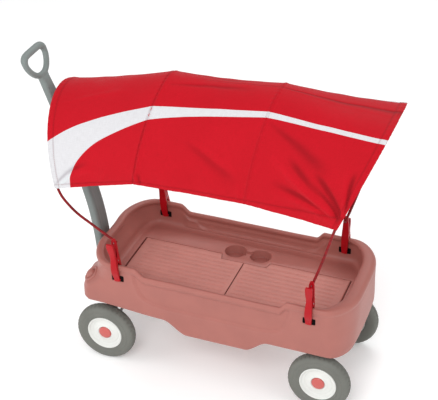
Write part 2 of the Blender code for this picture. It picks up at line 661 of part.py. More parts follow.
# Centre lines and outlines: distance from the centre plane, z
ARM_TOP = [(0.2189, 0.4740), (0.2214, 0.4870), (0.2224, 0.5080), (0.2199, 0.5330),
           (0.2199, 0.5700)]
ARM_SHORT = [(0.2254, 0.4400), (0.2214, 0.4470), (0.2189, 0.4560)] + ARM_TOP
ARM_LONG = [(0.2239, 0.4035), (0.2214, 0.4150), (0.2189, 0.4350)] + ARM_TOP
LEVER_LONG = [
    (0.2429, 0.4035), (0.2444, 0.4150), (0.2504, 0.4330), (0.2522, 0.4500), (0.2514, 0.4720),
    (0.2489, 0.4870), (0.2489, 0.5060), (0.2534, 0.5300), (0.2578, 0.5520), (0.2606, 0.5700),
]
LEVER_SHORT = [
    (0.2608, 0.4330), (0.2564, 0.4440), (0.2536, 0.4560), (0.2514, 0.4720), (0.2489, 0.4870),
    (0.2476, 0.5040), (0.2474, 0.5240), (0.2490, 0.5440),
]
ARM_HOOK = [(0.2214, 0.3990), (0.2349, 0.3990), (0.2349, 0.4040), (0.2214, 0.4080)]
LEVER_HOOK = [(0.2449, 0.3990), (0.2324, 0.3990), (0.2324, 0.4040), (0.2449, 0.4080)]
EAR = [(0.2199, 0.4700), (0.2349, 0.4785), (0.2419, 0.4820), (0.2434, 0.4870),
       (0.2419, 0.4920), (0.2349, 0.4955), (0.2199, 0.5060)]
EAR_X = (0.0100, 0.0132)
KNUCKLE = [(0.2494, 0.4730), (0.2349, 0.4800), (0.2289, 0.4830), (0.2276, 0.4870),
           (0.2289, 0.4910), (0.2349, 0.4940), (0.2494, 0.5010)]
KNUCKLE_X = (0.0068, 0.0096)


def build_clip(end, side, sign):
    """Sprung clip. On the far side the inner arm is long and hooked, on the near side the
    outer lever is."""
    x, lean, tag = CLIP_X[end], CLIP_LEAN[end], f"{end}_{side}"
    pivot = (x, sign * CLIP_U, CLIP_Z)

    def plate(name, outline, low, high, mat=None, origin=(0, 0, 0)):
        outline = [(sign * u, z) for u, z in outline]
        return prism(name, outline, "x", x + low, x + high, mat, origin, lean)

    def half(name, outline, lug, lug_outline, lug_x, hook, bore):
        """One half of the clip, with two lugs about the pin and maybe a hook."""
        part = plate(f"{name}_{tag}", outline, -CLIP_HALF, CLIP_HALF, CLIP, pivot)
        for i, way in enumerate((1, -1)):
            join(part, plate(f"c_{lug}_{tag}_{i}", lug_outline, way * lug_x[0], way * lug_x[1]))
        if hook:
            join(part, plate(f"c_hook_{tag}", hook, -HOOK_HALF, HOOK_HALF))
        cut(part, cylinder(f"c_{bore}_bore_{tag}", "x", pivot[1:], CLIP_PIN_R + GAP,
                           x - 0.02, x + 0.02, lean=lean))
        return part

    if side == "far":
        arm_line, arm_hook, lever_line, lever_hook = ARM_LONG, ARM_HOOK, LEVER_SHORT, None
    else:
        arm_line, arm_hook, lever_line, lever_hook = ARM_SHORT, None, LEVER_LONG, LEVER_HOOK
    arm = half("clip_arm", thick_line(arm_line, ARM_T), "ear", EAR, EAR_X, arm_hook, "inner")
    cut(arm, cylinder(f"c_rod_bore_{tag}", "y", (ROD_Z, x), ROD_PIN_R + GAP,
                      sign * 0.21, sign * 0.23, segments=12, lean=lean))
    half("clip_lever", thick_line(lever_line, LEVER_T), "knuckle", KNUCKLE, KNUCKLE_X,
         lever_hook, "outer")

    cylinder(f"clip_pin_{tag}", "x", pivot[1:], CLIP_PIN_R, x - CLIP_PIN_HALF,
             x + CLIP_PIN_HALF, STEEL, origin=pivot, lean=lean)
    coil, steps = [], COIL_TURNS * COIL_STEPS
    for i in range(steps + 1):
        turn = 2 * math.pi * i / COIL_STEPS
        coil.append((x - COIL_HALF + 2 * COIL_HALF * i / steps,
                     pivot[1] + COIL_R * math.cos(turn), CLIP_Z + COIL_R * math.sin(turn)))
    make(f"clip_spring_{tag}", wire(coil, COIL_WIRE_R, 4, (1, 0, 0)), STEEL, pivot, lean)
    cylinder(f"rod_pin_{tag}", "y", (ROD_Z, x), ROD_PIN_R, sign * 0.2049, sign * 0.2249, STEEL,
             segments=12, origin=(x, sign * ROD_U, ROD_Z), lean=lean)


# ---------------------------------------------------------------- canopy
ROD_PIN = {end: leaned((x, 0, ROD_Z), CLIP_LEAN[end]) for end, x in CLIP_X.items()}
RIBS = [  # hem x, hem z, x at mid height, top x, top z, roundness of the arch (2: ellipse)
    (-0.6040, 0.7455, -0.6377, -0.6714, 1.0532, 1.97),
    (-0.2948, 0.8308, -0.2746, -0.2444, 1.1620, 1.80),
    (0.1185, 0.8416, 0.1399, 0.1657, 1.1841, 1.92),
    (0.4488, 0.8112, 0.5180, 0.5850, 1.1550, 3.05),
]
CANOPY_HALF = 0.2338
FABRIC_T = 0.003
ARCH_STEPS, BAY_STEPS = 11, 3  # hem to ridge, rib to rib
HOOP_R, STAY_R = 0.0045, 0.0030
HOOP_SHIFT = 0.0090  # the end hoops stand this far inside the end ribs
ROD_HINT = (1, 0, 0.05)
# Near leg of each hoop, from the clip up to the hem: x, y, z
FRONT_LEG = [
    (-0.3795, -ROD_U, 0.5475), (-0.3852, -ROD_U, 0.5517), (-0.4200, -0.2115, 0.5730),
    (-0.4820, -0.2130, 0.6122), (-0.5270, -0.2155, 0.6428), (-0.5620, -0.2185, 0.6780),
    (-0.5870, -0.2205, 0.7120), (-0.6000, -0.2225, 0.7480),
]
REAR_LEG = [
    (0.3660, -ROD_U, 0.5465), (0.3680, -ROD_U, 0.5530), (0.3960, -0.2140, 0.6450),
    (0.4210, -0.2190, 0.7350), (0.4370, -0.2220, 0.7960),
]


def rib_point(rib, s, inset=0.0):
    """s runs from -1 (near hem) through 0 (ridge) to 1 (far hem)."""
    hem_x, hem_z, mid_x, top_x, top_z, power = rib
    turn = (1 - abs(s)) * math.pi / 2
    out, up = math.cos(turn) ** (2 / power), math.sin(turn) ** (2 / power)
    x = hem_x * (1 - up) * (1 - 2 * up) + 4 * mid_x * up * (1 - up) + top_x * up * (2 * up - 1)
    y = math.copysign((CANOPY_HALF - inset) * out, s) if s else 0.0
    return Vector((x, y, hem_z + (top_z - inset - hem_z) * up))


def build_fabric():
    """Sheet stretched straight from rib to rib."""
    stations = [i / ARCH_STEPS for i in range(-ARCH_STEPS, ARCH_STEPS + 1)]
    bays = len(RIBS) - 1
    rings = []
    for i in range(bays * BAY_STEPS + 1):
        bay = min(i // BAY_STEPS, bays - 1)
        t = i / BAY_STEPS - bay
        ring = []
        for inset, line in ((0.0, stations), (FABRIC_T, stations[::-1])):
            for s in line:
                start = rib_point(RIBS[bay], s, inset)
                ring.append(tuple(start.lerp(rib_point(RIBS[bay + 1], s, inset), t)))
        rings.append(ring)
    make("canopy_fabric", loft(rings), FABRIC, ROD_PIN["front"])


def catmull(points, steps):
    """Catmull-Rom curve with `steps` pieces between neighbouring points."""
    curve, last = [], len(points) - 1
    for i in range(last):
        neighbours = (points[max(i - 1, 0)], points[i], points[i + 1], points[min(i + 2, last)])
        p0, p1, p2, p3 = map(Vector, neighbours)
        for j in range(steps):
            t = j / steps
            curve.append(tuple(0.5 * (
                (2 * p1) + (p2 - p0) * t + (2 * p0 - 5 * p1 + 4 * p2 - p3) * t * t
                + (3 * p1 - 3 * p2 + p3 - p0) * t ** 3
            )))
    curve.append(tuple(points[-1]))
    return curve


def build_hoop(end, rib, leg, shift):
    """Bent rod: up a leg from the clip, over the rib arch and down the mirrored leg."""
    name, pin = f"{end}_hoop", ROD_PIN[end]
    hem_x, hem_z, mid_x, top_x, top_z, power = rib
    rib = (hem_x + shift, hem_z, mid_x + shift, top_x + shift, top_z, power)
    inset = FABRIC_T + HOOP_R + 0.0015
    arch = [tuple(rib_point(rib, -1 + i / 7, inset)) for i in range(8)]
    near = catmull(leg + arch[1:3], 2)[:-1] + arch[2:]
    far = [(x, -y, z) for x, y, z in near[:-1]][::-1]
    hoop = make(name, wire(near + far, HOOP_R, 7, ROD_HINT), ROD, pin)
    for i, (_, sign) in enumerate(SIDES):
        cut(hoop, cylinder(f"c_{name}_{i}", "y", (pin.z, pin.x), ROD_PIN_R + GAP,
                           sign * 0.20, sign * 0.22, segments=12))


def build_stay(end, rib):
    """Thin rod under the fabric along one of the middle ribs."""
    inset = FABRIC_T + STAY_R + 0.0012
    path = [tuple(rib_point(rib, -1 + 2 * i / 16, inset)) for i in range(17)]
    make(f"canopy_stay_{end}", wire(path, STAY_R, 6, ROD_HINT), ROD, ROD_PIN["front"])


# ---------------------------------------------------------------- assembly
build_tub()
for end_name, end_sign in ENDS:
    build_seat_panel(end_name, end_sign)
build_bolster()
build_kingpin()
build_axle_carrier()
for side_name, side_sign in SIDES:
    build_rear_bracket(side_name, side_sign)
build_axles()
build_wheels()
build_handle_shaft()
build_handle_grip()
for end_name in CLIP_X:
    for side_name, side_sign in SIDES:
        build_clip(end_name, side_name, side_sign)
build_fabric()
build_hoop("front", RIBS[0], FRONT_LEG, HOOP_SHIFT)
build_hoop("rear", RIBS[3], REAR_LEG, -HOOP_SHIFT)
build_stay("front", RIBS[1])
build_stay("rear", RIBS[2])
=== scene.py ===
"""Pull-along wagon: a moulded tub with two seat panels, four wheels, a pull handle, and a cloth
canopy on two hoops and two stays. Front is -x, the near side is -y, the ground is z = 0."""
from math import ceil, cos, pi, radians, sin

import bmesh
import bpy
import numpy as np
from mathutils import Matrix, Vector


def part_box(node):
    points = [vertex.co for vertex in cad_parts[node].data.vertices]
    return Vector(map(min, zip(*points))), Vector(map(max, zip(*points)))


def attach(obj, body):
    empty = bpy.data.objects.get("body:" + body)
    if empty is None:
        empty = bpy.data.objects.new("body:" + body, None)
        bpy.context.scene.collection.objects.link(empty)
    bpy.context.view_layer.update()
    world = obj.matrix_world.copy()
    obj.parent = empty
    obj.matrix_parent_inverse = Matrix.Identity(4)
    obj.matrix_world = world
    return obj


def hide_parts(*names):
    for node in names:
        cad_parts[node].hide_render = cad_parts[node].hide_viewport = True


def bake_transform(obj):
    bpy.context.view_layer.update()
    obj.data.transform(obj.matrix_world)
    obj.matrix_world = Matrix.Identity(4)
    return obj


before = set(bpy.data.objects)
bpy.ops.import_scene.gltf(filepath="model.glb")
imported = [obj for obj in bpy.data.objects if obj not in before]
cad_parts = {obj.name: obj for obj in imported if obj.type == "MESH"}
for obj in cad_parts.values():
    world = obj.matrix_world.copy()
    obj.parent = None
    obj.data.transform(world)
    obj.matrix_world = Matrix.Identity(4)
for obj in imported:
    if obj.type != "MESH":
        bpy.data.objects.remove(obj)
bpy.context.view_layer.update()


def middle(node):
    low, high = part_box(node)
    return (low + high) / 2


# x is measured from the middle between the clip holes; SHIFT moves it into the frame.
REAR_AXLE_X = 0.408
REAR_AXLE = middle("rear_axle")
SHIFT = REAR_AXLE.x - REAR_AXLE_X
AXLE_X = {"front": middle("front_axle").x - SHIFT, "rear": REAR_AXLE_X}
WHEEL_R = REAR_AXLE.z

# Tub heights: rim at the ends and along the sides, floor, seat pocket, skirt at ends and middle
RIM_HIGH, RIM_LOW = 0.465, 0.4365
FLOOR_Z, POCKET_Z = 0.3605, 0.3475
SKIRT_Z, SKIRT_MID_Z = 0.256, 0.205

SEAT_MID_X = 0.012  # where the two seat panels meet
PANEL_Y0, PANEL_Y1 = -0.170, 0.112
CLIP_X = {"front": -0.370, "rear": 0.368}
HOLE_Z = 0.407
FRONT_LEAN = radians(-6)
HOOP_R, STAY_R = 0.005, 0.003
ROD_Y = 0.2109  # rod foot from the centre line

SIDES = (("near", -1), ("far", 1))
CORNERS = [(end, side, sign) for end in ("front", "rear") for side, sign in SIDES]


def ease(t):
    t = np.clip(t, 0.0, 1.0)
    return t * t * (3 - 2 * t)


def bell(distance, width):
    return np.exp(-(distance / width) ** 2)


# ------------------------------------------------------------------ materials
def linear(*rgb):
    """8-bit sRGB to a linear RGBA tuple."""
    channels = (c / 255 for c in rgb)
    return tuple(c / 12.92 if c <= 0.04045 else ((c + 0.055) / 1.055) ** 2.4
                 for c in channels) + (1.0,)


def scaled(colour, factor):
    return tuple(min(1, c * factor) for c in colour[:3]) + (1,)


class Shader:
    """A node material built round its Principled BSDF."""

    def __init__(self, name):
        self.material = bpy.data.materials.new(name)
        self.material.use_nodes = True
        self.tree = self.material.node_tree

    def feed(self, node, inputs):
        for key, value in inputs.items():
            if isinstance(value, bpy.types.NodeSocket):
                self.tree.links.new(value, node.inputs[key])
            else:
                node.inputs[key].default_value = value

    def surface(self, inputs):
        self.feed(self.tree.nodes["Principled BSDF"], inputs)
        return self.material

    def node(self, kind, inputs=None, **settings):
        node = self.tree.nodes.new("ShaderNode" + kind)
        for key, value in settings.items():
            setattr(node, key, value)
        self.feed(node, inputs or {})
        return node

    def calc(self, operation, *operands):
        return self.node("Math", dict(enumerate(operands)), operation=operation).outputs[0]

    def mix(self, factor, a, b, mode="MIX"):
        sockets = {0: factor, 6: a, 7: b}
        return self.node("Mix", sockets, data_type="RGBA", blend_type=mode).outputs[2]

    def tint(self, factor, colour, multiplier):
        return self.mix(factor, colour, self.mix(1.0, colour, multiplier, "MULTIPLY"))

    def ramp(self, factor, *stops):
        """Stops are (position, grey level or RGBA)."""
        node = self.node("ValToRGB", {0: factor})
        elements = node.color_ramp.elements
        while len(elements) < len(stops):
            elements.new(0.5)
        for element, (position, value) in zip(elements, stops):
            element.position = position
            element.color = value if isinstance(value, tuple) else (value, value, value, 1)
        return node.outputs[0]

    def coords(self):
        return self.node("TexCoord").outputs["Object"]

    def pointiness(self):
        return self.node("NewGeometry").outputs["Pointiness"]

    def attribute(self, name, output="Fac"):
        return self.node("Attribute", attribute_name=name).outputs[output]

    def noise(self, scale, detail=3.0, roughness=0.5, vector=None, stretch=None):
        vector = vector or self.coords()
        if stretch:
            vector = self.node("Mapping", {0: vector, "Scale": stretch}).outputs[0]
        return self.node("TexNoise", {"Scale": scale, "Detail": detail,
                                      "Roughness": roughness, "Vector": vector}).outputs[0]

    def bump(self, height, strength, distance, below=None):
        inputs = {"Strength": strength, "Distance": distance, "Height": height}
        if below is not None:
            inputs["Normal"] = below
        return self.node("Bump", inputs).outputs[0]


def plastic(name, rgb, roughness, grain=900.0, grain_depth=0.00006, mottle=0.06, edge=0.10,
            specular=0.4, stretch=None, coat=0.0):
    """Moulded plastic: fine grain, slight mottling, paler worn edges and painted shade in hollows."""
    shader = Shader(name)
    base = linear(*rgb)
    blotches = shader.noise(scale=9.0, detail=4.0, roughness=0.55)
    colour = shader.ramp(blotches, (0.30, scaled(base, 1 - mottle * 1.6)), (0.52, base),
                         (0.75, scaled(base, 1 + mottle * 1.4)))
    pale = tuple(c * 0.7 + 0.3 * 0.75 for c in base[:3]) + (1,)
    point = shader.pointiness()
    worn = shader.ramp(point, (0.52, 0.0), (0.62, 1.0))
    scuffs = shader.noise(scale=60.0, detail=5.0, roughness=0.6)
    scuffs = shader.ramp(scuffs, (0.40, 0.2), (0.65, 1.0))
    wear = shader.calc("MULTIPLY", shader.calc("MULTIPLY", worn, scuffs), edge * 3)
    colour = shader.mix(wear, colour, pale)
    # painted shade: concave spots, found by pointiness, are darkened towards a dim copy of the base
    # colour
    painted_hollow_shade = shader.ramp(point, (0.40, 1.0), (0.49, 0.0))
    colour = shader.mix(shader.calc("MULTIPLY", painted_hollow_shade, 0.35), colour, scaled(base, 0.55))
    marring = shader.noise(scale=180.0, detail=4.0, roughness=0.65)
    fine = shader.noise(grain, detail=2.0, stretch=stretch)
    normal = shader.bump(fine, strength=0.55, distance=grain_depth)
    normal = shader.bump(shader.noise(scale=45.0), strength=0.25, distance=0.0003, below=normal)
    return shader.surface({
        "Base Color": colour,
        "Roughness": shader.calc("MULTIPLY_ADD", marring, 0.22, roughness - 0.11),
        "Normal": normal,
        "Specular IOR Level": specular,
        "Coat Weight": coat,
        "Coat Roughness": 0.15,
    })


def metal(name, rgb, roughness, metallic):
    shader = Shader(name)
    base = linear(*rgb)
    tone = shader.noise(scale=60.0, detail=4.0, roughness=0.6)
    colour = shader.ramp(tone, (0.35, scaled(base, 0.78)), (0.6, base))
    worn = shader.ramp(shader.pointiness(), (0.53, 0.0), (0.62, 1.0))
    colour = shader.mix(shader.calc("MULTIPLY", worn, 0.5), colour, linear(150, 150, 148))
    smears = shader.noise(scale=220.0, roughness=0.6)
    brushing = shader.noise(scale=500.0, roughness=0.6, stretch=(1, 0.08, 1))
    return shader.surface({
        "Base Color": colour,
        "Metallic": metallic,
        "Roughness": shader.calc("MULTIPLY_ADD", smears, 0.25, roughness - 0.12),
        "Normal": shader.bump(brushing, strength=0.4, distance=0.00008),
    })


def rod_material():
    shader = Shader("rod_red")
    bands = shader.node("TexWave", {"Scale": 120.0, "Distortion": 0.6, "Vector": shader.coords()},
                        wave_type="BANDS", bands_direction="Z").outputs[1]
    tone = shader.noise(scale=70.0, detail=4.0, roughness=0.6)
    return shader.surface({
        "Base Color": shader.ramp(tone, (0.3, linear(100, 6, 10)), (0.55, linear(132, 8, 16)),
                                  (0.8, linear(150, 16, 24))),
        "Roughness": shader.calc("MULTIPLY_ADD", shader.noise(scale=300.0), 0.2, 0.36),
        "Specular IOR Level": 0.22,
        "Coat Weight": 0.03,
        "Normal": shader.bump(bands, strength=0.15, distance=0.0001),
    })


def print_and_painted_shade_colour(shader, red, slub, cloth):
    """Adds the printed pale stripe, darker seams, and painted shade and highlight on the folds to the
    red cloth.
    """
    white = shader.ramp(slub, (0.34, linear(196, 195, 198)), (0.5, linear(209, 208, 211)),
                        (0.68, linear(218, 218, 221)))
    # the stripe edge wanders by 0.4 mm and blurs over 0.4 mm
    jag = shader.noise(scale=800.0, detail=2.0, vector=cloth)
    jag = shader.calc("MULTIPLY_ADD", jag, 0.0008, -0.0004)
    depth = shader.calc("ADD", shader.attribute("stripe"), jag)
    inside = shader.calc("MULTIPLY_ADD", depth, 1000.0, 0.5)
    colour = shader.mix(shader.ramp(inside, (0.30, 0.0), (0.70, 1.0)), red, white)
    # darker within 6 mm of a seam
    seam = shader.calc("MULTIPLY", shader.attribute("seam"), 1000.0 / 6.0)
    seam = shader.ramp(seam, (0.0, 1.0), (0.35, 0.35), (1.0, 0.0))
    colour = shader.tint(shader.calc("MULTIPLY", seam, 0.46), colour, (0.42, 0.36, 0.38, 1))
    # painted shade in fold valleys, painted highlight on fold crests
    fold_painted_shading = shader.attribute("fold_painted_shading")
    low = shader.calc("MULTIPLY_ADD", fold_painted_shading, -220.0, 0.0)
    low = shader.ramp(low, (0.0, 0.0), (0.55, 0.8), (1.0, 1.0))
    high = shader.calc("MULTIPLY_ADD", fold_painted_shading, 160.0, 0.0)
    high = shader.ramp(high, (0.0, 0.0), (0.9, 1.0))
    colour = shader.tint(shader.calc("MULTIPLY", low, 0.62), colour, (0.36, 0.30, 0.34, 1))
    return shader.tint(shader.calc("MULTIPLY", high, 0.30), colour, (1.25, 1.6, 1.5, 1))


def fabric(name, sleeve=False):
    """Plain woven cloth: over-under weave and uneven threads; the sheet also gets a printed stripe
    and painted shade and highlight on its folds.
    """
    shader = Shader(name)
    cloth = shader.coords() if sleeve else shader.attribute("cloth", "Vector")
    dark_red = linear(173, 7, 23)
    slubs = [shader.noise(scale=40.0, detail=4.0, roughness=0.6, vector=cloth, stretch=stretch)
             for stretch in ((1.0, 22.0, 1.0), (22.0, 1.0, 1.0))]
    slub = shader.calc("MULTIPLY", shader.calc("ADD", *slubs), 0.5)
    colour = shader.ramp(slub, (0.34, dark_red), (0.50, linear(187, 9, 28)),
                         (0.68, linear(197, 13, 34)))
    clouds = shader.ramp(shader.noise(scale=5.0, vector=cloth), (0.35, 0.0), (0.7, 0.35))
    colour = shader.mix(clouds, colour, dark_red)
    axes = shader.node("SeparateXYZ", {0: cloth}).outputs
    thread_pitch = 0.0016
    weave = [shader.calc("SINE", shader.calc("MULTIPLY", axes[k], 2 * pi / thread_pitch))
             for k in (0, 1)]
    thread = shader.calc("MULTIPLY", *weave)
    thread = shader.calc("ADD", shader.calc("MULTIPLY", thread, 0.5), 0.5)
    if not sleeve:
        colour = print_and_painted_shade_colour(shader, colour, slub, cloth)
    gap = linear(110, 6, 18) if sleeve else shader.mix(0.5, colour, (0, 0, 0, 1))
    colour = shader.mix(shader.calc("MULTIPLY", thread, 0.10), colour, gap)
    normal = shader.bump(thread, strength=0.5, distance=0.00025)
    normal = shader.bump(slub, strength=0.3, distance=0.0003, below=normal)
    rumple = shader.noise(scale=26.0, detail=4.0, roughness=0.55, vector=cloth)
    normal = shader.bump(rumple, strength=0.35, distance=0.0012, below=normal)
    return shader.surface({
        "Base Color": colour,
        "Roughness": shader.calc("MULTIPLY_ADD", slub, 0.2, 0.62),
        "Sheen Weight": 0.04,
        "Sheen Roughness": 0.5,
        "Specular IOR Level": 0.12,
        "Normal": normal,
    })


BODY = plastic("body_plastic", (165, 101, 92), roughness=0.46, mottle=0.035, edge=0.08)
# painted light: the seat panels use a paler copy of the body plastic, so the floor looks lit from
# above
SEAT_PAINTED_LIGHT = plastic("seat_plastic", (188, 125, 115), roughness=0.52, mottle=0.05, edge=0.08,
               stretch=(0.25, 1, 1))
HANDLE = plastic("handle_grey", (119, 127, 125), roughness=0.50, mottle=0.04, edge=0.08)
TYRE = plastic("tyre_grey", (112, 113, 107), roughness=0.72, grain=600, grain_depth=0.00015,
               mottle=0.07, specular=0.3)
HUB = plastic("hub_offwhite", (224, 225, 221), roughness=0.42, mottle=0.02, edge=0.02)
CAP = plastic("cap_red", (196, 92, 86), roughness=0.36, mottle=0.03, coat=0.2)
CLIP = plastic("clip_red", (172, 4, 20), roughness=0.42, grain=700, grain_depth=0.00004,
               mottle=0.05, edge=0.015, specular=0.22, coat=0.04)
# painted shadow: flat black for the unlit hollow behind the clip holes
SHADOW_BLACK = plastic("shadow_black", (14, 12, 12), roughness=0.85, mottle=0.02, edge=0.0, specular=0.1)
ROD = rod_material()
STEEL = metal("bright_steel", (176, 178, 180), roughness=0.32, metallic=1.0)
PAINTED = metal("running_gear_paint", (58, 59, 59), roughness=0.50, metallic=0.25)
FABRIC = fabric("canopy_fabric_woven")
BINDING = fabric("canopy_binding_woven", sleeve=True)
THREAD = plastic("stitch_thread", (170, 16, 32), roughness=0.7, grain=2500, mottle=0.1, edge=0.0)


# ------------------------------------------------------------------ mesh helpers
# A "part" is a pair (points, faces).
def shade(obj, sharp_degrees):
    obj.data.shade_smooth()
    obj.data.set_sharp_from_angle(angle=radians(sharp_degrees))


def register(obj, body=None, replaces=()):
    if body:
        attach(obj, body)
    if replaces:
        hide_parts(*replaces)


def make(name, part, material=None, body=None, smooth=35, replaces=(), slot=None):
    """Object from a part; `smooth` is the sharp-edge angle in degrees, 0 for flat shading."""
    points, faces = part
    mesh = bpy.data.meshes.new(name)
    mesh.from_pydata((np.asarray(points, float) + [SHIFT, 0, 0]).tolist(), [], faces)
    mesh.update()
    bm = bmesh.new()
    bm.from_mesh(mesh)
    bmesh.ops.recalc_face_normals(bm, faces=bm.faces[:])
    bm.to_mesh(mesh)
    bm.free()
    obj = bpy.data.objects.new(name, mesh)
    bpy.context.scene.collection.objects.link(obj)
    if material is not None:
        mesh.materials.append(material)
    if smooth:
        shade(obj, smooth)
    if slot:
        register(obj, body, replaces)
    return obj


def grid_part(rings, wrap_columns=True, wrap_rows=False):
    """Part from a grid of points; a stack of closed rings gets end caps."""
    rings = np.asarray(rings, float)
    rows, columns = rings.shape[:2]
    i = np.arange(rows if wrap_rows else rows - 1)[:, None]
    j = np.arange(columns if wrap_columns else columns - 1)[None, :]
    i_next, j_next = (i + 1) % rows, (j + 1) % columns
    faces = np.stack([i * columns + j, i * columns + j_next,
                      i_next * columns + j_next, i_next * columns + j], -1)
    faces = faces.reshape(-1, 4).tolist()
    if wrap_columns and not wrap_rows:
        faces.append(list(range(columns)))
        faces.append([(rows - 1) * columns + k for k in range(columns)])
    return rings.reshape(-1, 3), faces


def merged(parts):
    points, faces = [], []
    for part_points, part_faces in parts:
        start = len(points)
        points += list(part_points)
        faces += [[i + start for i in face] for face in part_faces]
    return points, faces


def rounded(x0, y0, x1, y1, radius, steps=5):
    """Rectangle outline with rounded corners."""
    corners = ((x1 - radius, y1 - radius, 0), (x0 + radius, y1 - radius, 90),
               (x0 + radius, y0 + radius, 180), (x1 - radius, y0 + radius, 270))
    return [(x + radius * cos(angle), y + radius * sin(angle))
            for x, y, start in corners
            for angle in (radians(start + 90 * i / steps) for i in range(steps + 1))]


def circle(count):
    angle = np.arange(count) * 2 * pi / count
    return np.stack([np.cos(angle), np.sin(angle)], -1)


def sweep(path, sections, up, loop=False):
    """Carries one 2-D section per path point; `up` is the section's first direction."""
    count = len(path)
    rings = []
    for i, section in enumerate(sections):
        before = path[(i - 1) % count] if loop or i else path[0]
        after = path[(i + 1) % count] if loop or i < count - 1 else path[-1]
        tangent = (after - before) / np.linalg.norm(after - before)
        side = np.asarray(up, float)
        side = side - tangent * (side @ tangent)
        side /= np.linalg.norm(side)
        rings.append(path[i] + section[:, :1] * side + section[:, 1:2] * np.cross(tangent, side))
    return np.array(rings)


def path_lengths(points):
    """Distance along a polyline at each of its points."""
    return np.concatenate([[0], np.cumsum(np.linalg.norm(points[1:] - points[:-1], axis=1))])


def inner_slopes(points, at):
    """Slopes of a smooth curve at its inner points; the two ends stay zero."""
    slopes = np.zeros_like(points)
    for i in range(1, len(points) - 1):
        before, after = at[i] - at[i - 1], at[i + 1] - at[i]
        slopes[i] = ((points[i + 1] - points[i]) / after * before
                     + (points[i] - points[i - 1]) / before * after) / (before + after)
    return slopes


def hermite(points, slopes, at, i, u):
    """Cubic at fraction u between points i and i + 1."""
    span = at[i + 1] - at[i]
    return ((2 * u ** 3 - 3 * u ** 2 + 1) * points[i] + (u ** 3 - 2 * u ** 2 + u) * span * slopes[i]
            + (-2 * u ** 3 + 3 * u ** 2) * points[i + 1] + (u ** 3 - u ** 2) * span * slopes[i + 1])


def spline(points, step):
    """Smooth curve through rows of numbers, resampled at about `step`.

    Columns come in threes; spacing is the mean distance over the threes.
    """
    points = np.asarray(points, float)
    gaps = np.sqrt(((points[1:] - points[:-1]).reshape(len(points) - 1, -1, 3) ** 2).sum(-1))
    at = np.concatenate([[0], np.cumsum(np.maximum(gaps.mean(-1), 1e-6))])
    slopes = inner_slopes(points, at)
    slopes[0] = (points[1] - points[0]) / (at[1] - at[0])
    slopes[-1] = (points[-1] - points[-2]) / (at[-1] - at[-2])
    curve = []
    for i in range(len(points) - 1):
        count = max(1, ceil((at[i + 1] - at[i]) / step))
        curve += [hermite(points, slopes, at, i, j / count) for j in range(count)]
    return np.array(curve + [points[-1]])


def spline_stations(table, step):
    """Spline of a four-column table, padded to six columns."""
    return spline(np.pad(np.array(table), ((0, 0), (0, 2))), step)


def placed(flat, height, axis):
    """2-D points in the plane across `axis`: (y, z), (z, x) or (x, y)."""
    first, second, along = {"x": (1, 2, 0), "y": (2, 0, 1), "z": (0, 1, 2)}[axis]
    points = np.zeros((len(flat), 3))
    points[:, first], points[:, second], points[:, along] = flat[:, 0], flat[:, 1], height
    return points


def prism(outline, axis, levels):
    """Outline carried along `axis` through levels of (height, outward offset)."""
    outline = np.asarray(outline, float)
    x, y = outline.T
    area = 0.5 * np.sum(x * np.roll(y, -1) - np.roll(x, -1) * y)
    normals = []
    for edge in (outline - np.roll(outline, 1, 0), np.roll(outline, -1, 0) - outline):
        length = np.linalg.norm(edge, axis=1)[:, None]
        normals.append(np.stack([edge[:, 1], -edge[:, 0]], -1) / length)
    mitre = normals[0] + normals[1]
    mitre /= np.maximum((mitre * normals[0]).sum(1), 0.3)[:, None]
    if area <= 0:
        mitre = -mitre
    return grid_part([placed(outline + mitre * offset, height, axis)
                      for height, offset in levels])


def lathe(profile, centre, count=64, axis="z"):
    """Profile of (radius, height) turned about `axis` through `centre`."""
    return grid_part([placed(circle(count) * radius, height, axis) + np.asarray(centre)
                      for radius, height in profile])


def bake(obj):
    depsgraph = bpy.context.evaluated_depsgraph_get()
    mesh = bpy.data.meshes.new_from_object(obj.evaluated_get(depsgraph))
    old = obj.data
    obj.modifiers.clear()
    obj.data = mesh
    bpy.data.meshes.remove(old)


def boolean(obj, operation, cutter_name, parts):
    cutter = make(cutter_name, merged(parts), smooth=0)
    modifier = obj.modifiers.new("boolean", "BOOLEAN")
    modifier.operation, modifier.object, modifier.solver = operation, cutter, "EXACT"
    bake(obj)
    bpy.data.objects.remove(cutter, do_unlink=True)


def to_segment(x, y, start, end):
    """Fraction along a segment of the point nearest (x, y), and the distance to it."""
    dx, dy = end[0] - start[0], end[1] - start[1]
    t = np.clip(((x - start[0]) * dx + (y - start[1]) * dy) / (dx * dx + dy * dy), 0, 1)
    return t, np.hypot(x - (start[0] + t * dx), y - (start[1] + t * dy))


# ------------------------------------------------------------------ tub
def rim_z(x):
    dip = ease((x + 0.308) / 0.046) - ease((x - 0.253) / 0.032)
    return RIM_HIGH - (RIM_HIGH - RIM_LOW) * dip


def skirt_z(x):
    drop = ease((x + 0.200) / 0.10) - ease((x - 0.125) / 0.09)
    return SKIRT_Z + 0.016 * ease((-0.195 - x) / 0.28) - (SKIRT_Z - SKIRT_MID_Z) * drop


def below_rim(depth):
    return lambda x: rim_z(x) - depth


def above_skirt(height):
    return lambda x: skirt_z(x) + height


def upper_inner_z(x):
    """60 % of the way from z = 0.386 to 30 mm under the rim."""
    return 0.386 + (rim_z(x) - 0.030 - 0.386) * 0.6


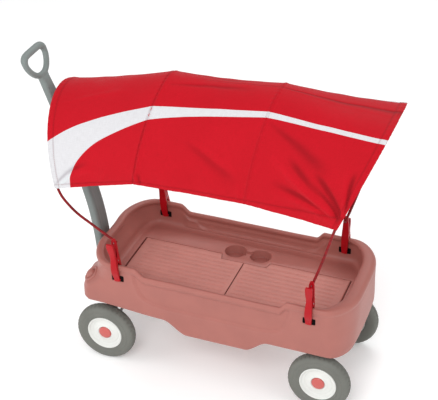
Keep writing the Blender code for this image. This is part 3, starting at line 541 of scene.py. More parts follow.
# Rings from the floor up the inner wall, over the rim, down the outer wall and up the lining:
# half width, front x, rear x, front corner radius, rear corner radius, height or height at x
TUB_PROFILE = [
    (0.1954, -0.422, 0.434, 0.052, 0.052, FLOOR_Z),
    (0.1994, -0.426, 0.438, 0.055, 0.055, FLOOR_Z),
    (0.2164, -0.438, 0.45, 0.07, 0.072, 0.3635),
    (0.2264, -0.445, 0.457, 0.08, 0.082, 0.3725),
    (0.2302, -0.449, 0.461, 0.088, 0.092, 0.386),
    (0.2302, -0.463, 0.468, 0.108, 0.112, upper_inner_z),
    (0.2299, -0.472, 0.472, 0.12, 0.122, below_rim(0.021)),
    (0.2249, -0.474, 0.469, 0.128, 0.13, below_rim(0.012)),
    (0.2256, -0.477, 0.475, 0.132, 0.134, below_rim(0.004)),
    (0.2299, -0.484, 0.486, 0.137, 0.14, below_rim(0.001)),
    (0.234, -0.4915, 0.4975, 0.143, 0.146, below_rim(0)),
    (0.2385, -0.5, 0.509, 0.147, 0.15, below_rim(0.002)),
    (0.2412, -0.505, 0.517, 0.149, 0.152, below_rim(0.008)),
    (0.2416, -0.5065, 0.5205, 0.149, 0.152, below_rim(0.015)),
    (0.2405, -0.505, 0.5205, 0.148, 0.151, below_rim(0.021)),
    (0.238, -0.4995, 0.52, 0.145, 0.149, below_rim(0.026)),
    (0.2366, -0.4975, 0.5205, 0.14, 0.146, below_rim(0.036)),
    (0.2364, -0.497, 0.5205, 0.128, 0.142, 0.398),
    (0.2362, -0.506, 0.5205, 0.11, 0.138, 0.375),
    (0.236, -0.522, 0.5205, 0.088, 0.132, 0.357),
    (0.2358, -0.536, 0.5203, 0.07, 0.126, 0.341),
    (0.2354, -0.541, 0.52, 0.062, 0.12, 0.318),
    (0.2339, -0.541, 0.5195, 0.06, 0.112, 0.282),
    (0.2329, -0.538, 0.5165, 0.058, 0.108, above_skirt(0.008)),
    (0.2299, -0.533, 0.5135, 0.054, 0.104, above_skirt(0)),
    (0.2269, -0.53, 0.5105, 0.052, 0.1, above_skirt(0.0005)),
    (0.2284, -0.535, 0.513, 0.055, 0.103, above_skirt(0.01)),
    (0.2289, -0.536, 0.5135, 0.056, 0.106, 0.284),
    (0.2304, -0.535, 0.5155, 0.058, 0.112, 0.316),
    (0.2308, -0.53, 0.516, 0.064, 0.118, 0.336),
    (0.2308, -0.519, 0.5155, 0.072, 0.122, 0.342),
]
STRAIGHT_FROM = 20  # profile row where the skirt and lining begin
# profile row a range of rows ends before, spacing of the rings in that range
RING_STEPS = ((6, 0.004), (15, 0.0026), (24, 0.0032), (31, 0.009))

# (x, z) outline of the recess in each outer wall
RECESS = [
    (-0.318, 0.48), (-0.312, 0.44), (-0.306, 0.406), (-0.297, 0.378), (-0.284, 0.352),
    (-0.263, 0.332), (-0.232, 0.3205), (-0.18, 0.316), (0.18, 0.316), (0.225, 0.3205),
    (0.254, 0.332), (0.272, 0.352), (0.284, 0.378), (0.292, 0.406), (0.297, 0.44), (0.301, 0.48)]
# (x, z) line on each inner wall, below which it bulges inwards
LEDGE = [
    (-0.3, 0.48), (-0.262, 0.425), (-0.243, 0.405), (-0.222, 0.384), (-0.195, 0.3735),
    (0.0, 0.376), (0.23, 0.3735), (0.256, 0.384), (0.274, 0.405), (0.29, 0.425), (0.32, 0.48)]
CUPS = ((-0.043, 0.1455), (0.0585, 0.1455))


def plan_ring(half_width, front_x, rear_x, front_r, rear_r, height, bow=0.010):
    """Closed ring round the tub with elliptical corners and bowed ends."""
    front_rx, rear_rx = front_r * 0.72, rear_r * 0.72
    x0, x1 = front_x + front_rx, rear_x - rear_rx
    side = np.linspace(x0, x1, 236)
    quarter = np.radians(np.linspace(0, 90, 19))[1:-1]

    def straight(x, y):
        return np.stack(np.broadcast_arrays(x, y), -1)

    def corner(x, y, radius_x, radius_y, start):
        angle = quarter + start
        return np.stack([x + radius_x * np.cos(angle), y + radius_y * np.sin(angle)], -1)

    front_y, rear_y = half_width - front_r, half_width - rear_r
    outline = np.concatenate([
        straight(side, -half_width),
        corner(x1, -rear_y, rear_rx, rear_r, -pi / 2),
        straight(rear_x, np.linspace(-rear_y, rear_y, 15)),
        corner(x1, rear_y, rear_rx, rear_r, 0),
        straight(side[::-1], half_width),
        corner(x0, front_y, front_rx, front_r, pi / 2),
        straight(front_x, np.linspace(front_y, -front_y, 15)),
        corner(x0, -front_y, front_rx, front_r, pi),
    ])
    x, y = outline.T
    sag = bow * (y / half_width) ** 2
    x = np.where(x > x1, x - sag * (x - x1) / rear_rx,
                 np.where(x < x0, x + sag * (x0 - x) / front_rx, x))
    z = height(x) if callable(height) else np.full_like(x, height)
    return np.stack([x, y, z], -1)


def fine_rings(rings):
    """Lofts smoothly between rings; also returns the profile row each ring starts from."""
    gaps = np.sqrt(((rings[1:] - rings[:-1]) ** 2).sum(-1)).mean(-1)
    at = np.concatenate([[0], np.cumsum(gaps)])
    slopes = inner_slopes(rings, at)
    slopes[1] = (rings[2] - rings[1]) / (at[2] - at[1]) * [1, 1, 0.2]
    slopes[STRAIGHT_FROM] = ((rings[STRAIGHT_FROM + 1] - rings[STRAIGHT_FROM])
                             / (at[STRAIGHT_FROM + 1] - at[STRAIGHT_FROM]))
    fine, source = [rings[0]], [0]
    for i in range(1, len(rings) - 1):
        step = next(step for end, step in RING_STEPS if i < end)
        count = max(1, ceil((at[i + 1] - at[i]) / step))
        source += [i] * count
        for j in range(count):
            if i >= STRAIGHT_FROM:
                fine.append(rings[i] + (rings[i + 1] - rings[i]) * j / count)
            else:
                fine.append(hermite(rings, slopes, at, i, j / count))
    return np.array(fine + [rings[-1]]), np.array(source + [len(rings) - 1])


def polyline_distance(x, z, line):
    """Signed distance to an open polyline; positive on its left."""
    best = np.full(x.shape, 1e9)
    sign = np.ones(x.shape)
    for start, end in zip(line[:-1], line[1:]):
        distance = to_segment(x, z, start, end)[1]
        left = np.sign((end[0] - start[0]) * (z - start[1]) - (end[1] - start[1]) * (x - start[0]))
        closer = distance < best
        best = np.where(closer, distance, best)
        sign = np.where(closer, left, sign)
    return best * sign


def shape_walls(rings, source):
    """Presses the recesses, ledges and rim dips into the rings, in place."""
    x, y, z = rings[..., 0], rings[..., 1], rings[..., 2]  # views: later steps see earlier ones

    def rows(first, end):
        return ((source >= first) & (source < end))[:, None]

    outer, lining, inner = rows(15, 23), rows(25, 31), rows(2, 6)
    on_side = ease((np.abs(y) - 0.19) / 0.02)
    from_recess = polyline_distance(x, z, RECESS)
    recess = 0.0052 * ease((from_recess + 0.005) / 0.011) - 0.0009 * bell(from_recess + 0.0085, 0.004)
    under_rim = np.where(lining, 1.0, ease((rim_z(x) - 0.026 - z) / 0.012))
    from_ledge = polyline_distance(x, z, LEDGE)
    bulge = 0.0012 + 0.0054 * ease((-from_ledge + 0.003) / 0.0065)
    bulge = (bulge * on_side * ease((z - 0.3655) / 0.008) * ease((rim_z(x) - 0.028 - z) / 0.010)
             * ease((x + 0.30) / 0.03) * ease((0.31 - x) / 0.03))
    y -= np.sign(y) * np.where(outer | lining, recess * on_side * under_rim, 0)
    y -= np.sign(y) * np.where(inner & (x > -0.30) & (x < 0.31), bulge, 0)
    # the front rim dips a little in its middle, behind the handle
    front = ease((-0.44 - x) / 0.03) * np.exp(-(y / 0.060) ** 4)
    z -= np.where(rows(6, 16), 0.006 * front, 0)
    # slight waviness of a large moulding
    z += np.where(rows(7, 14), 0.0006 * np.sin(x * 23.0 + 1.3) * np.sin(x * 7.1), 0)


def flare(bottom, top, lip):
    """Levels of a cutter that opens out by `lip` at the top."""
    return [(bottom, 0), (top - lip, 0), (top - lip * 0.3, lip * 0.3), (top, lip),
            (top + 0.02, lip)]


def hole_block(end, sign, grow, inner_y, outer_y):
    """Rounded block the size of a clip hole, grown by `grow`."""
    x, half_z, half_x = CLIP_X[end], 0.0135 + grow, 0.024 + grow
    outline = rounded(HOLE_Z - half_z, x - half_x, HOLE_Z + half_z, x + half_x, 0.004, 4)
    return prism(outline, "y", [(y, 0) for y in sorted((sign * inner_y, sign * outer_y))])


def build_tub():
    rings, source = fine_rings(np.array([plan_ring(*row) for row in TUB_PROFILE]))
    shape_walls(rings, source)
    tub = make("tub", grid_part(rings), BODY, smooth=0)
    mid = SEAT_MID_X

    # outsides of the floor well, the nose pocket and the cup holders
    well = rounded(mid - 0.165, -0.165, mid + 0.165, 0.085, 0.022, 8)
    nose = rounded(-0.533, -0.106, -0.4845, 0.106, 0.004, 3)
    cup = [(0.0415, 0.3195), (0.0455, 0.3235), (0.0455, 0.345)]
    boolean(tub, "UNION", "adds", [
        prism(well, "z", [(0.213, -0.004), (0.217, 0), (0.345, 0)]),
        prism(nose, "z", [(0.264, 0), (0.344, 0)]),
        *(lathe(cup, (*place, 0)) for place in CUPS)])

    # pocket for the seat panels, stepped in at the middle of its far side
    y0, y1 = PANEL_Y0 - 0.0015, PANEL_Y1 + 0.0015
    pocket = [(-0.419, y0), (0.419, y0), (0.419, y1), (0.099, y1), (0.089, 0.08),
              (-0.089, 0.08), (-0.099, y1), (-0.419, y1)]
    pocket = [(mid + x, y) for x, y in pocket]
    boolean(tub, "DIFFERENCE", "cut_pocket", [prism(pocket, "z", flare(POCKET_Z, FLOOR_Z, 0.0014))])

    # insides of the well, cup holders and nose pocket, and the clip holes
    well = rounded(mid - 0.1605, -0.1605, mid + 0.1605, 0.0805, 0.018, 8)
    nose = rounded(-0.62, -0.1, -0.4915, 0.1, 0.012, 6)
    cup = [(0.0345, 0.3245), (0.039, 0.3255), (0.0412, 0.329), (0.0415, 0.357),
           (0.0418, 0.3585), (0.0428, 0.3598), (0.0445, 0.3606), (0.0445, 0.38)]
    boolean(tub, "DIFFERENCE", "cut_rest", [
        prism(well, "z", [(0.218, -0.006), (0.2196, -0.0022), (0.223, 0), (0.355, 0)]),
        *(lathe(cup, (*place, 0)) for place in CUPS),
        prism(nose, "z", [(0.23, 0), (0.44, 0)]),
        *(hole_block(end, sign, 0, 0.222, 0.245) for end, _, sign in CORNERS)])

    # slot between the cup holders and notch in the front rim
    boolean(tub, "DIFFERENCE", "cut_notch", [
        prism(rounded(-0.022, 0.13, 0.038, 0.161, 0.008), "z", flare(0.35, FLOOR_Z, 0.002)),
        prism(rounded(-0.62, -0.09, -0.5045, 0.09, 0.008), "z", [(0.43, 0), (0.49, 0)])])
    shade(tub, 34)
    register(tub, "root", ["tub_body"])


# radius, height above the shoulder: collar, groove and dome
BUTTON = [
    (0.034, -0.012), (0.0338, -0.001), (0.0325, 0.0022), (0.03, 0.0034), (0.0265, 0.0032),
    (0.0245, 0.0018), (0.0225, 0.0004), (0.0205, 0.0006), (0.0198, 0.0036), (0.018, 0.0078),
    (0.015, 0.0108), (0.0105, 0.0128), (0.0055, 0.0138), (0.001, 0.014)]


def build_nose_button(side, sign):
    """Round button on the nose shoulder, in a shallow collar."""
    centre = np.array([-0.5045, sign * 0.186, 0.362])
    normal = np.array([-0.62, sign * 0.30, 0.72])
    normal /= np.linalg.norm(normal)
    tangent = np.cross(normal, [1.0, 0, 0])
    tangent /= np.linalg.norm(tangent)
    ring = circle(48)
    ring = ring[:, :1] * tangent + ring[:, 1:] * np.cross(normal, tangent)
    rings = [centre + normal * height + radius * ring for radius, height in BUTTON]
    make(f"nose_button_{side}", grid_part(rings), BODY, "root", smooth=50, slot="body_plastic")


build_tub()
for side, sign in SIDES:
    build_nose_button(side, sign)
for end, side, sign in CORNERS:  # painted shadow: black sheets behind the clip holes stand in for the dark hollow inside the wall
    make(f"clip_hole_{end}_{side}", hole_block(end, sign, 0.0001, 0.2326, 0.2340), SHADOW_BLACK, "root",
         slot="body_plastic")


# ------------------------------------------------------------------ seat panels
PANEL_TOP, PANEL_BOTTOM = 0.3602, 0.3478
PANEL_INNER_X = 0.002  # from the middle of the seat
PANEL_GROOVES = 10


def build_panel(end, sign):
    """Grooved panel; its x runs outwards from the seat middle to a rounded outer end."""
    y0, y1 = PANEL_Y0 + 0.0004, PANEL_Y1 - 0.0004
    stations = np.concatenate([
        [PANEL_INNER_X, 0.0026, 0.0045], np.linspace(0.01, 0.025, 6),
        np.linspace(0.032, 0.372, 40), np.linspace(0.3765, 0.392, 6), [0.398]])
    pitch = (y1 - y0 - 0.012) / (PANEL_GROOVES + 1)
    grooves = [y0 + 0.006 + pitch * i for i in range(1, PANEL_GROOVES + 1)]
    half = np.array([0.0006, 0.0016, 0.0026, 0.0034, 0.009])  # columns either side of a groove
    around = np.concatenate([-half[::-1], [0], half])
    columns = np.concatenate([[y0, y0 + 0.0006, y0 + 0.0018], *(g + around for g in grooves),
                              [y1 - 0.0018, y1 - 0.0006, y1]])
    x, y = np.meshgrid(stations, columns, indexing="ij")
    from_groove = np.min(np.abs(y[..., None] - np.array(grooves)), -1)
    ends = ease((x - 0.012) / 0.012) * ease((0.390 - x) / 0.012)
    off_notch = 1 - ease((y - 0.064) / 0.004) * ease((0.112 - x) / 0.006)
    depth = 0.0022 * np.exp(-(from_groove / 0.0021) ** 4) * ends * off_notch
    crown = -0.0005 * np.cos(np.clip(from_groove / pitch, 0, 0.5) * 2 * pi) * ends
    edge = 0.0016 * (np.clip(1 - (x - PANEL_INNER_X) / 0.0026, 0, 1) ** 2
                     + np.clip(1 - (y - y0) / 0.0018, 0, 1) ** 2
                     + np.clip(1 - (y1 - y) / 0.0018, 0, 1) ** 2)
    waves = 0.00025 * np.sin(x * 31 + y * 17)
    z = PANEL_TOP - 0.0006 - depth + crown - edge + waves

    def row(row_x, row_z):
        return np.stack(np.broadcast_arrays(row_x, columns, row_z), -1)

    rows = [row(x[i], z[i]) for i in range(len(stations))]
    rows.append(row(0.405, PANEL_TOP - 0.0008))
    radius, mid_z = (PANEL_TOP - PANEL_BOTTOM) / 2, (PANEL_TOP + PANEL_BOTTOM) / 2
    for i in range(1, 9):
        angle = radians(90 - 180 * i / 9)
        rows.append(row(0.4085 + radius * cos(angle) * 0.98, mid_z + radius * sin(angle) * 0.98))
    rows += [row(row_x, PANEL_BOTTOM) for row_x in (0.4, 0.3, 0.11, 0.0045)]
    rows.append(row(PANEL_INNER_X, PANEL_BOTTOM + 0.0012))
    grid = np.array(rows)
    grid[..., 0] = SEAT_MID_X + sign * grid[..., 0]
    points, faces = grid_part(grid, wrap_columns=False, wrap_rows=True)
    count = len(columns)
    for column in (0, count - 1):  # close the near and far edges
        faces.append([i * count + column for i in range(len(rows))])
    panel = make(f"seat_{end}", (points, faces), SEAT_PAINTED_LIGHT, smooth=0)

    notch = [(-0.0902, 0.0785), (0.0902, 0.0785), (0.1008, 0.115), (0.1008, 0.13),
             (-0.1008, 0.13), (-0.1008, 0.115)]
    boolean(panel, "DIFFERENCE", "cut_panel", [
        prism([(SEAT_MID_X + x, y) for x, y in notch], "z",
              [(0.33, 0), (0.3588, 0), (0.3604, 0.0014), (0.39, 0.0014)])])
    shade(panel, 38)
    register(panel, f"seat_{end}", [f"seat_panel_{end}"])


build_panel("front", -1)
build_panel("rear", 1)

# ------------------------------------------------------------------ wheels
# Profiles: radius on a wheel of PROFILE_R, distance outwards from WHEEL_Y
PROFILE_R, WHEEL_Y = 0.118, 0.178
TYRE_PROFILE = [
    (0.0702, 0.006), (0.0702, 0.043), (0.0715, 0.0452), (0.0745, 0.0462), (0.078, 0.0466),
    (0.0795, 0.046), (0.0805, 0.0466), (0.088, 0.0476), (0.093, 0.0478), (0.094, 0.0472),
    (0.095, 0.0478), (0.102, 0.0474), (0.106, 0.0466), (0.1095, 0.045), (0.1128, 0.0425),
    (0.1152, 0.0395), (0.1168, 0.036), (0.1176, 0.032), (0.1179, 0.0286), (0.118, 0.0284),
    (0.118, 0.0262), (0.1166, 0.0256), (0.1166, 0.0224), (0.118, 0.0218), (0.118, 0.0196),
    (0.1179, 0.0194), (0.1176, 0.016), (0.1168, 0.012), (0.1152, 0.0085), (0.1128, 0.0055),
    (0.1095, 0.003), (0.106, 0.0014), (0.102, 0.0006), (0.09, 0.0004), (0.078, 0.002),
    (0.072, 0.004)]
HUB_PROFILE = [
    (0.0064, -0.0125), (0.018, -0.0125), (0.0196, 0.008), (0.023, 0.012), (0.064, 0.015),
    (0.069, 0.012), (0.0702, 0.006), (0.0702, 0.043), (0.07, 0.0455), (0.0686, 0.0468),
    (0.0664, 0.0466), (0.0652, 0.0448), (0.064, 0.04), (0.062, 0.0372), (0.0585, 0.0358),
    (0.054, 0.0352), (0.0532, 0.0342), (0.0518, 0.0342), (0.051, 0.0352), (0.044, 0.0362),
    (0.037, 0.0376), (0.033, 0.04), (0.0308, 0.042), (0.0285, 0.0424), (0.0268, 0.0412),
    (0.026, 0.0385), (0.024, 0.0372), (0.0064, 0.037)]
CAP_PROFILE = [
    (0.0004, 0.0373), (0.024, 0.0373), (0.0248, 0.0385), (0.0245, 0.0408), (0.0232, 0.0428),
    (0.0205, 0.0444), (0.0165, 0.0455), (0.015, 0.0452), (0.014, 0.0457), (0.009, 0.0466),
    (0.0004, 0.0471)]
TREAD_LUGS, TREAD_DEPTH = 40, 0.0022


def turned(profile, end, sign, tread=False):
    count = 160
    angle = np.arange(count) * 2 * pi / count
    profile = np.array(profile)
    radius = np.repeat(profile[:, :1], count, 1)
    out = np.repeat(profile[:, 1:2], count, 1)
    if tread:  # notches staggered between the two edges of the tread
        notch, staggered = (np.cos(angle * TREAD_LUGS + phase) > 0.55 for phase in (0, pi))
        from_mid = out - 0.024
        pattern = np.where(from_mid > 0.0045, notch, np.where(from_mid < -0.0045, staggered, 0))
        radius = radius - TREAD_DEPTH * ease((radius - 0.1125) / 0.002) * pattern
    radius = radius * (WHEEL_R / PROFILE_R)
    return np.stack([AXLE_X[end] + radius * np.sin(angle), sign * (WHEEL_Y + out),
                     WHEEL_R - radius * np.cos(angle)], -1)


for end, side, sign in CORNERS:
    corner = f"{end}_{side}"
    body = f"wheel_{corner}"
    make(f"wheel_tyre_{corner}", grid_part(turned(TYRE_PROFILE, end, sign, True), wrap_rows=True),
         TYRE, body, replaces=[f"tyre_{corner}"], slot="tyre")
    make(f"wheel_hub_{corner}", grid_part(turned(HUB_PROFILE, end, sign), wrap_rows=True),
         HUB, body, replaces=[f"wheel_rim_{corner}"], slot="wheel_hub")
    make(f"wheel_cap_{corner}", grid_part(turned(CAP_PROFILE, end, sign)),
         CAP, body, replaces=[f"hub_cap_{corner}"], slot="hub_cap")

# ------------------------------------------------------------------ pull handle
# Shaft stations: x, z, half width, half thickness
SHAFT = np.array([
    (-0.532, 0.168, 0.03, 0.012), (-0.532, 0.176, 0.039, 0.016), (-0.532, 0.2, 0.04, 0.017),
    (-0.533, 0.28, 0.04, 0.017), (-0.537, 0.37, 0.04, 0.017), (-0.547, 0.46, 0.0398, 0.017),
    (-0.563, 0.55, 0.039, 0.017), (-0.586, 0.637, 0.038, 0.0168), (-0.617, 0.73, 0.036, 0.0162),
    (-0.654, 0.83, 0.033, 0.0155), (-0.701, 0.96, 0.028, 0.0148), (-0.74, 1.055, 0.0235, 0.014)])
# Far half of the grip loop: y, distance up the shaft line; then its top
GRIP = [(0, 0.008), (0.018, 0.01), (0.036, 0.017), (0.053, 0.031), (0.066, 0.05),
        (0.0725, 0.07), (0.07, 0.087), (0.059, 0.0975), (0.042, 0.101), (0.021, 0.1015)]
GRIP_TOP = (0, 0.1015)


def shaft_section(half_width, half_thick):
    """Box section with softened corners and a shallow channel down the front and back."""
    outline = np.array(rounded(-half_width, -half_thick, half_width, half_thick,
                               half_thick * 0.62, 6))
    x, y = outline.T
    y -= np.sign(y) * 0.0022 * np.exp(-(x / (half_width * 0.42)) ** 6)
    closed = np.concatenate([outline, outline[:1]])
    lengths = path_lengths(closed)
    even = np.linspace(0, lengths[-1], 64, endpoint=False)
    x, y = (np.interp(even, lengths, closed[:, k]) for k in (0, 1))
    channel = 0.0020 * (1 - ease((np.abs(x) - half_width * 0.36) / (half_width * 0.14)))
    y = y - np.sign(y) * np.where(np.abs(y) > half_thick * 0.80, channel, 0)
    return np.stack([x, y], -1)


def build_handle():
    top = np.array([SHAFT[-1, 0], 0, SHAFT[-1, 1]])
    x, z = SHAFT[-1, :2] - SHAFT[-2, :2]
    direction = np.array([x, 0, z]) / np.linalg.norm([x, 0, z])
    stations = spline_stations(SHAFT, 0.012)
    path = np.stack([stations[:, 0], np.zeros(len(stations)), stations[:, 1]], -1)
    # two more stations spread the shaft into the loop
    path = np.concatenate([path, [top + direction * 0.012, top + direction * 0.022]])
    sizes = np.concatenate([stations[:, 2:4], [[0.0265, 0.0118], [0.035, 0.01]]])
    shaft = sweep(path, [shaft_section(*size) for size in sizes], up=(0, 1, 0))

    base = top + direction * 0.010
    outline = GRIP + [GRIP_TOP] + [(-y, up) for y, up in GRIP[:0:-1]] + GRIP[:1]
    loop = spline([base + direction * up + np.array([0, y, 0]) for y, up in outline], 0.005)[:-1]
    sections = [circle(24) * (0.0112 + 0.0026 * ease((up - 0.070) / 0.025))
                for up in (loop - base) @ direction]
    loop = sweep(loop, sections, up=np.cross(direction, [0, 1.0, 0]), loop=True)

    handle = make("pull_handle", merged([grid_part(shaft), grid_part(loop, wrap_rows=True)]),
                  HANDLE, smooth=0)
    # fuse the shaft and loop into one skin
    remesh = handle.modifiers.new("remesh", "REMESH")
    remesh.mode, remesh.voxel_size, remesh.adaptivity = "VOXEL", 0.0024, 0.0
    soften = handle.modifiers.new("soften", "SMOOTH")
    soften.factor, soften.iterations = 0.5, 6
    bake(handle)
    bore = lathe([(0.0056, -0.06), (0.0056, 0.06)], (-0.532, 0, 0.185), 32, "y")
    boolean(handle, "DIFFERENCE", "bore", [bore])
    handle.data.materials.clear()
    handle.data.materials.append(HANDLE)
    shade(handle, 50)
    register(handle, "handle", ["handle_shaft", "handle_grip"])


build_handle()

# ------------------------------------------------------------------ clips
# Arm stations: distance from the centre line, z, half width, flange depth
INNER_TOP = [
    (0.2189, 0.474, 0.0135, 0.009), (0.2214, 0.487, 0.0135, 0.015), (0.2222, 0.5, 0.0132, 0.01),
    (0.2224, 0.512, 0.0122, 0.006), (0.2204, 0.533, 0.011, 0.0045), (0.2199, 0.548, 0.01, 0.004),
    (0.2199, 0.562, 0.0085, 0.003), (0.2199, 0.5695, 0.006, 0.001)]
INNER_SHORT = [(0.224, 0.441, 0.013, 0.0005), (0.2214, 0.447, 0.0135, 0.0005),
               (0.2189, 0.456, 0.0135, 0.002)] + INNER_TOP
INNER_LONG = [
    (0.2239, 0.399, 0.0105, 0.0004), (0.2222, 0.408, 0.0108, 0.001), (0.2208, 0.42, 0.0118, 0.002),
    (0.2189, 0.438, 0.013, 0.002), (0.2189, 0.456, 0.0135, 0.002)] + INNER_TOP
OUTER_LONG = [
    (0.2431, 0.399, 0.0108, 0.0004), (0.2436, 0.409, 0.0112, 0.0012),
    (0.2466, 0.422, 0.0122, 0.003), (0.2506, 0.435, 0.0132, 0.005), (0.2526, 0.45, 0.0132, 0.006),
    (0.2516, 0.47, 0.0122, 0.009), (0.2489, 0.487, 0.0112, 0.015), (0.2482, 0.501, 0.0107, 0.0072),
    (0.2496, 0.516, 0.0112, 0.005), (0.2528, 0.531, 0.0128, 0.005),
    (0.2566, 0.547, 0.0134, 0.0048), (0.2592, 0.561, 0.013, 0.004), (0.2606, 0.569, 0.0108, 0.0008)]
OUTER_SHORT = [
    (0.2606, 0.434, 0.0128, 0.0005), (0.2564, 0.444, 0.0132, 0.0014), (0.2536, 0.456, 0.013, 0.003),
    (0.2514, 0.472, 0.0122, 0.007), (0.2489, 0.487, 0.0112, 0.014), (0.2476, 0.504, 0.0112, 0.008),
    (0.2474, 0.524, 0.0118, 0.004), (0.2488, 0.544, 0.0104, 0.0008)]
ARM_THICK, FLANGE_THICK = 0.0056, 0.0021


def leaned(part, end):
    """Tips front clip parts about their hole."""
    if end == "rear":
        return part
    points = np.array(part[0], float)
    x, z = points[:, 0] - CLIP_X["front"], points[:, 2] - HOLE_Z
    points[:, 0] = CLIP_X["front"] + x * cos(FRONT_LEAN) + z * sin(FRONT_LEAN)
    points[:, 2] = HOLE_Z - x * sin(FRONT_LEAN) + z * cos(FRONT_LEAN)
    return points, part[1]


def channel_section(width, flange):
    """U section: slightly crowned back, a flange on each edge; `width` is the half width."""
    back = ARM_THICK / 2
    tip = back + max(flange, 0.0002)
    inside = width - FLANGE_THICK
    half = [(width / 2, -back - 0.0004), (width - 0.001, -back), (width, -back + 0.001),
            (width, tip - 0.0006), (width - 0.0006, tip), (inside + 0.0006, tip),
            (inside, tip - 0.0006), (inside - 0.0002, back + 0.0008), (inside - 0.001, back)]
    other = [(-x, y) for x, y in half[::-1]]
    # starts at the second-last point of the mirrored half and runs once round
    return np.array([other[-2], other[-1], (0, -back - 0.0006), *half, (0, back), *other[:-2]])


def build_arm(name, stations, end, sign, facing, body, node, hook):
    """Clip arm; facing is 1 when its flanges point outwards and -1 when they point inwards."""
    stations = spline_stations(stations, 0.0035)
    middle_x = CLIP_X[end]
    count = len(stations)
    path = np.stack([np.full(count, middle_x), sign * stations[:, 0], stations[:, 1]], -1)
    across = np.array([1.0, 0, 0])
    rings = []
    for i in range(count):
        tangent = path[min(i + 1, count - 1)] - path[max(i - 1, 0)]
        out = np.cross(tangent / np.linalg.norm(tangent), across)
        if out[1] * sign * facing < 0:
            out = -out
        section = channel_section(*stations[i, 2:4])
        rings.append(path[i] + section[:, :1] * across + section[:, 1:2] * out)
    parts = [grid_part(rings)]
    if hook:  # lip that reaches into the hole
        root, tip = (0.2225, 0.2345) if facing > 0 else (0.2445, 0.2328)
        outline = [(root, 0.3978), (tip, 0.3982), (tip + facing * 0.0006, 0.3998),
                   (tip, 0.404), (root, 0.4085)]
        levels = [(-0.0103, -0.0008), (-0.0095, 0), (0.0095, 0), (0.0103, -0.0008)]
        parts.append(prism([(sign * y, z) for y, z in outline], "x",
                           [(middle_x + x, offset) for x, offset in levels]))
    make(name, merged(leaned(part, end) for part in parts), CLIP, body, smooth=40,
         replaces=[node], slot="clip")


for end, side, sign in CORNERS:  # the hooked arm is the inner one on the far side
    corner = f"{end}_{side}"
    far = side == "far"
    build_arm(f"clip_inner_{corner}", INNER_LONG if far else INNER_SHORT, end, sign, 1,
              "root", f"clip_arm_{corner}", hook=far)
    build_arm(f"clip_outer_{corner}", OUTER_SHORT if far else OUTER_LONG, end, sign, -1,
              f"lever_{corner}", f"clip_lever_{corner}", hook=not far)

# ------------------------------------------------------------------ canopy sheet
# Each rib: hem x, hem z, mid x, top x, top z, roundness power
RIBS = np.array([
    (-0.6040, 0.7455, -0.6377, -0.6714, 1.0532, 1.97),
    (-0.2948, 0.8308, -0.2746, -0.2444, 1.1620, 1.80),
    (0.1185, 0.8416, 0.1399, 0.1657, 1.1841, 1.92),
    (0.4488, 0.8112, 0.5180, 0.5850, 1.1550, 3.05)])
RIB_HALF_WIDTH = 0.2338
RIB_AT = np.array([0.0, 0.360, 0.774, 1.148])  # cloth length at each rib
HALF_CLOTH = 0.42  # cloth length from ridge to hem
EDGE_SEAM, HEM_SEAM = 0.0215, 0.0138  # seam distance from the end edges and from the hems
CLOTH_THICK = 0.0013

# Outlines on the cloth: rib number, fraction from ridge (0) to near hem (-1)
STRIPE_TOP = [
    (-0.05, -0.655), (0.007, -0.627), (0.193, -0.547), (0.441, -0.476), (0.678, -0.431),
    (0.996, -0.393), (1.355, -0.359), (1.757, -0.327), (2.019, -0.311), (2.376, -0.305),
    (2.957, -0.295), (3.1, -0.293)]
STRIPE_BOTTOM = [
    (0.2, -1.08), (0.203, -1.0), (0.216, -0.931), (0.27, -0.84), (0.372, -0.745), (0.519, -0.654),
    (0.727, -0.576), (1.013, -0.497), (1.279, -0.445), (1.778, -0.384), (2.028, -0.361),
    (2.394, -0.352), (2.965, -0.349), (3.1, -0.348)]
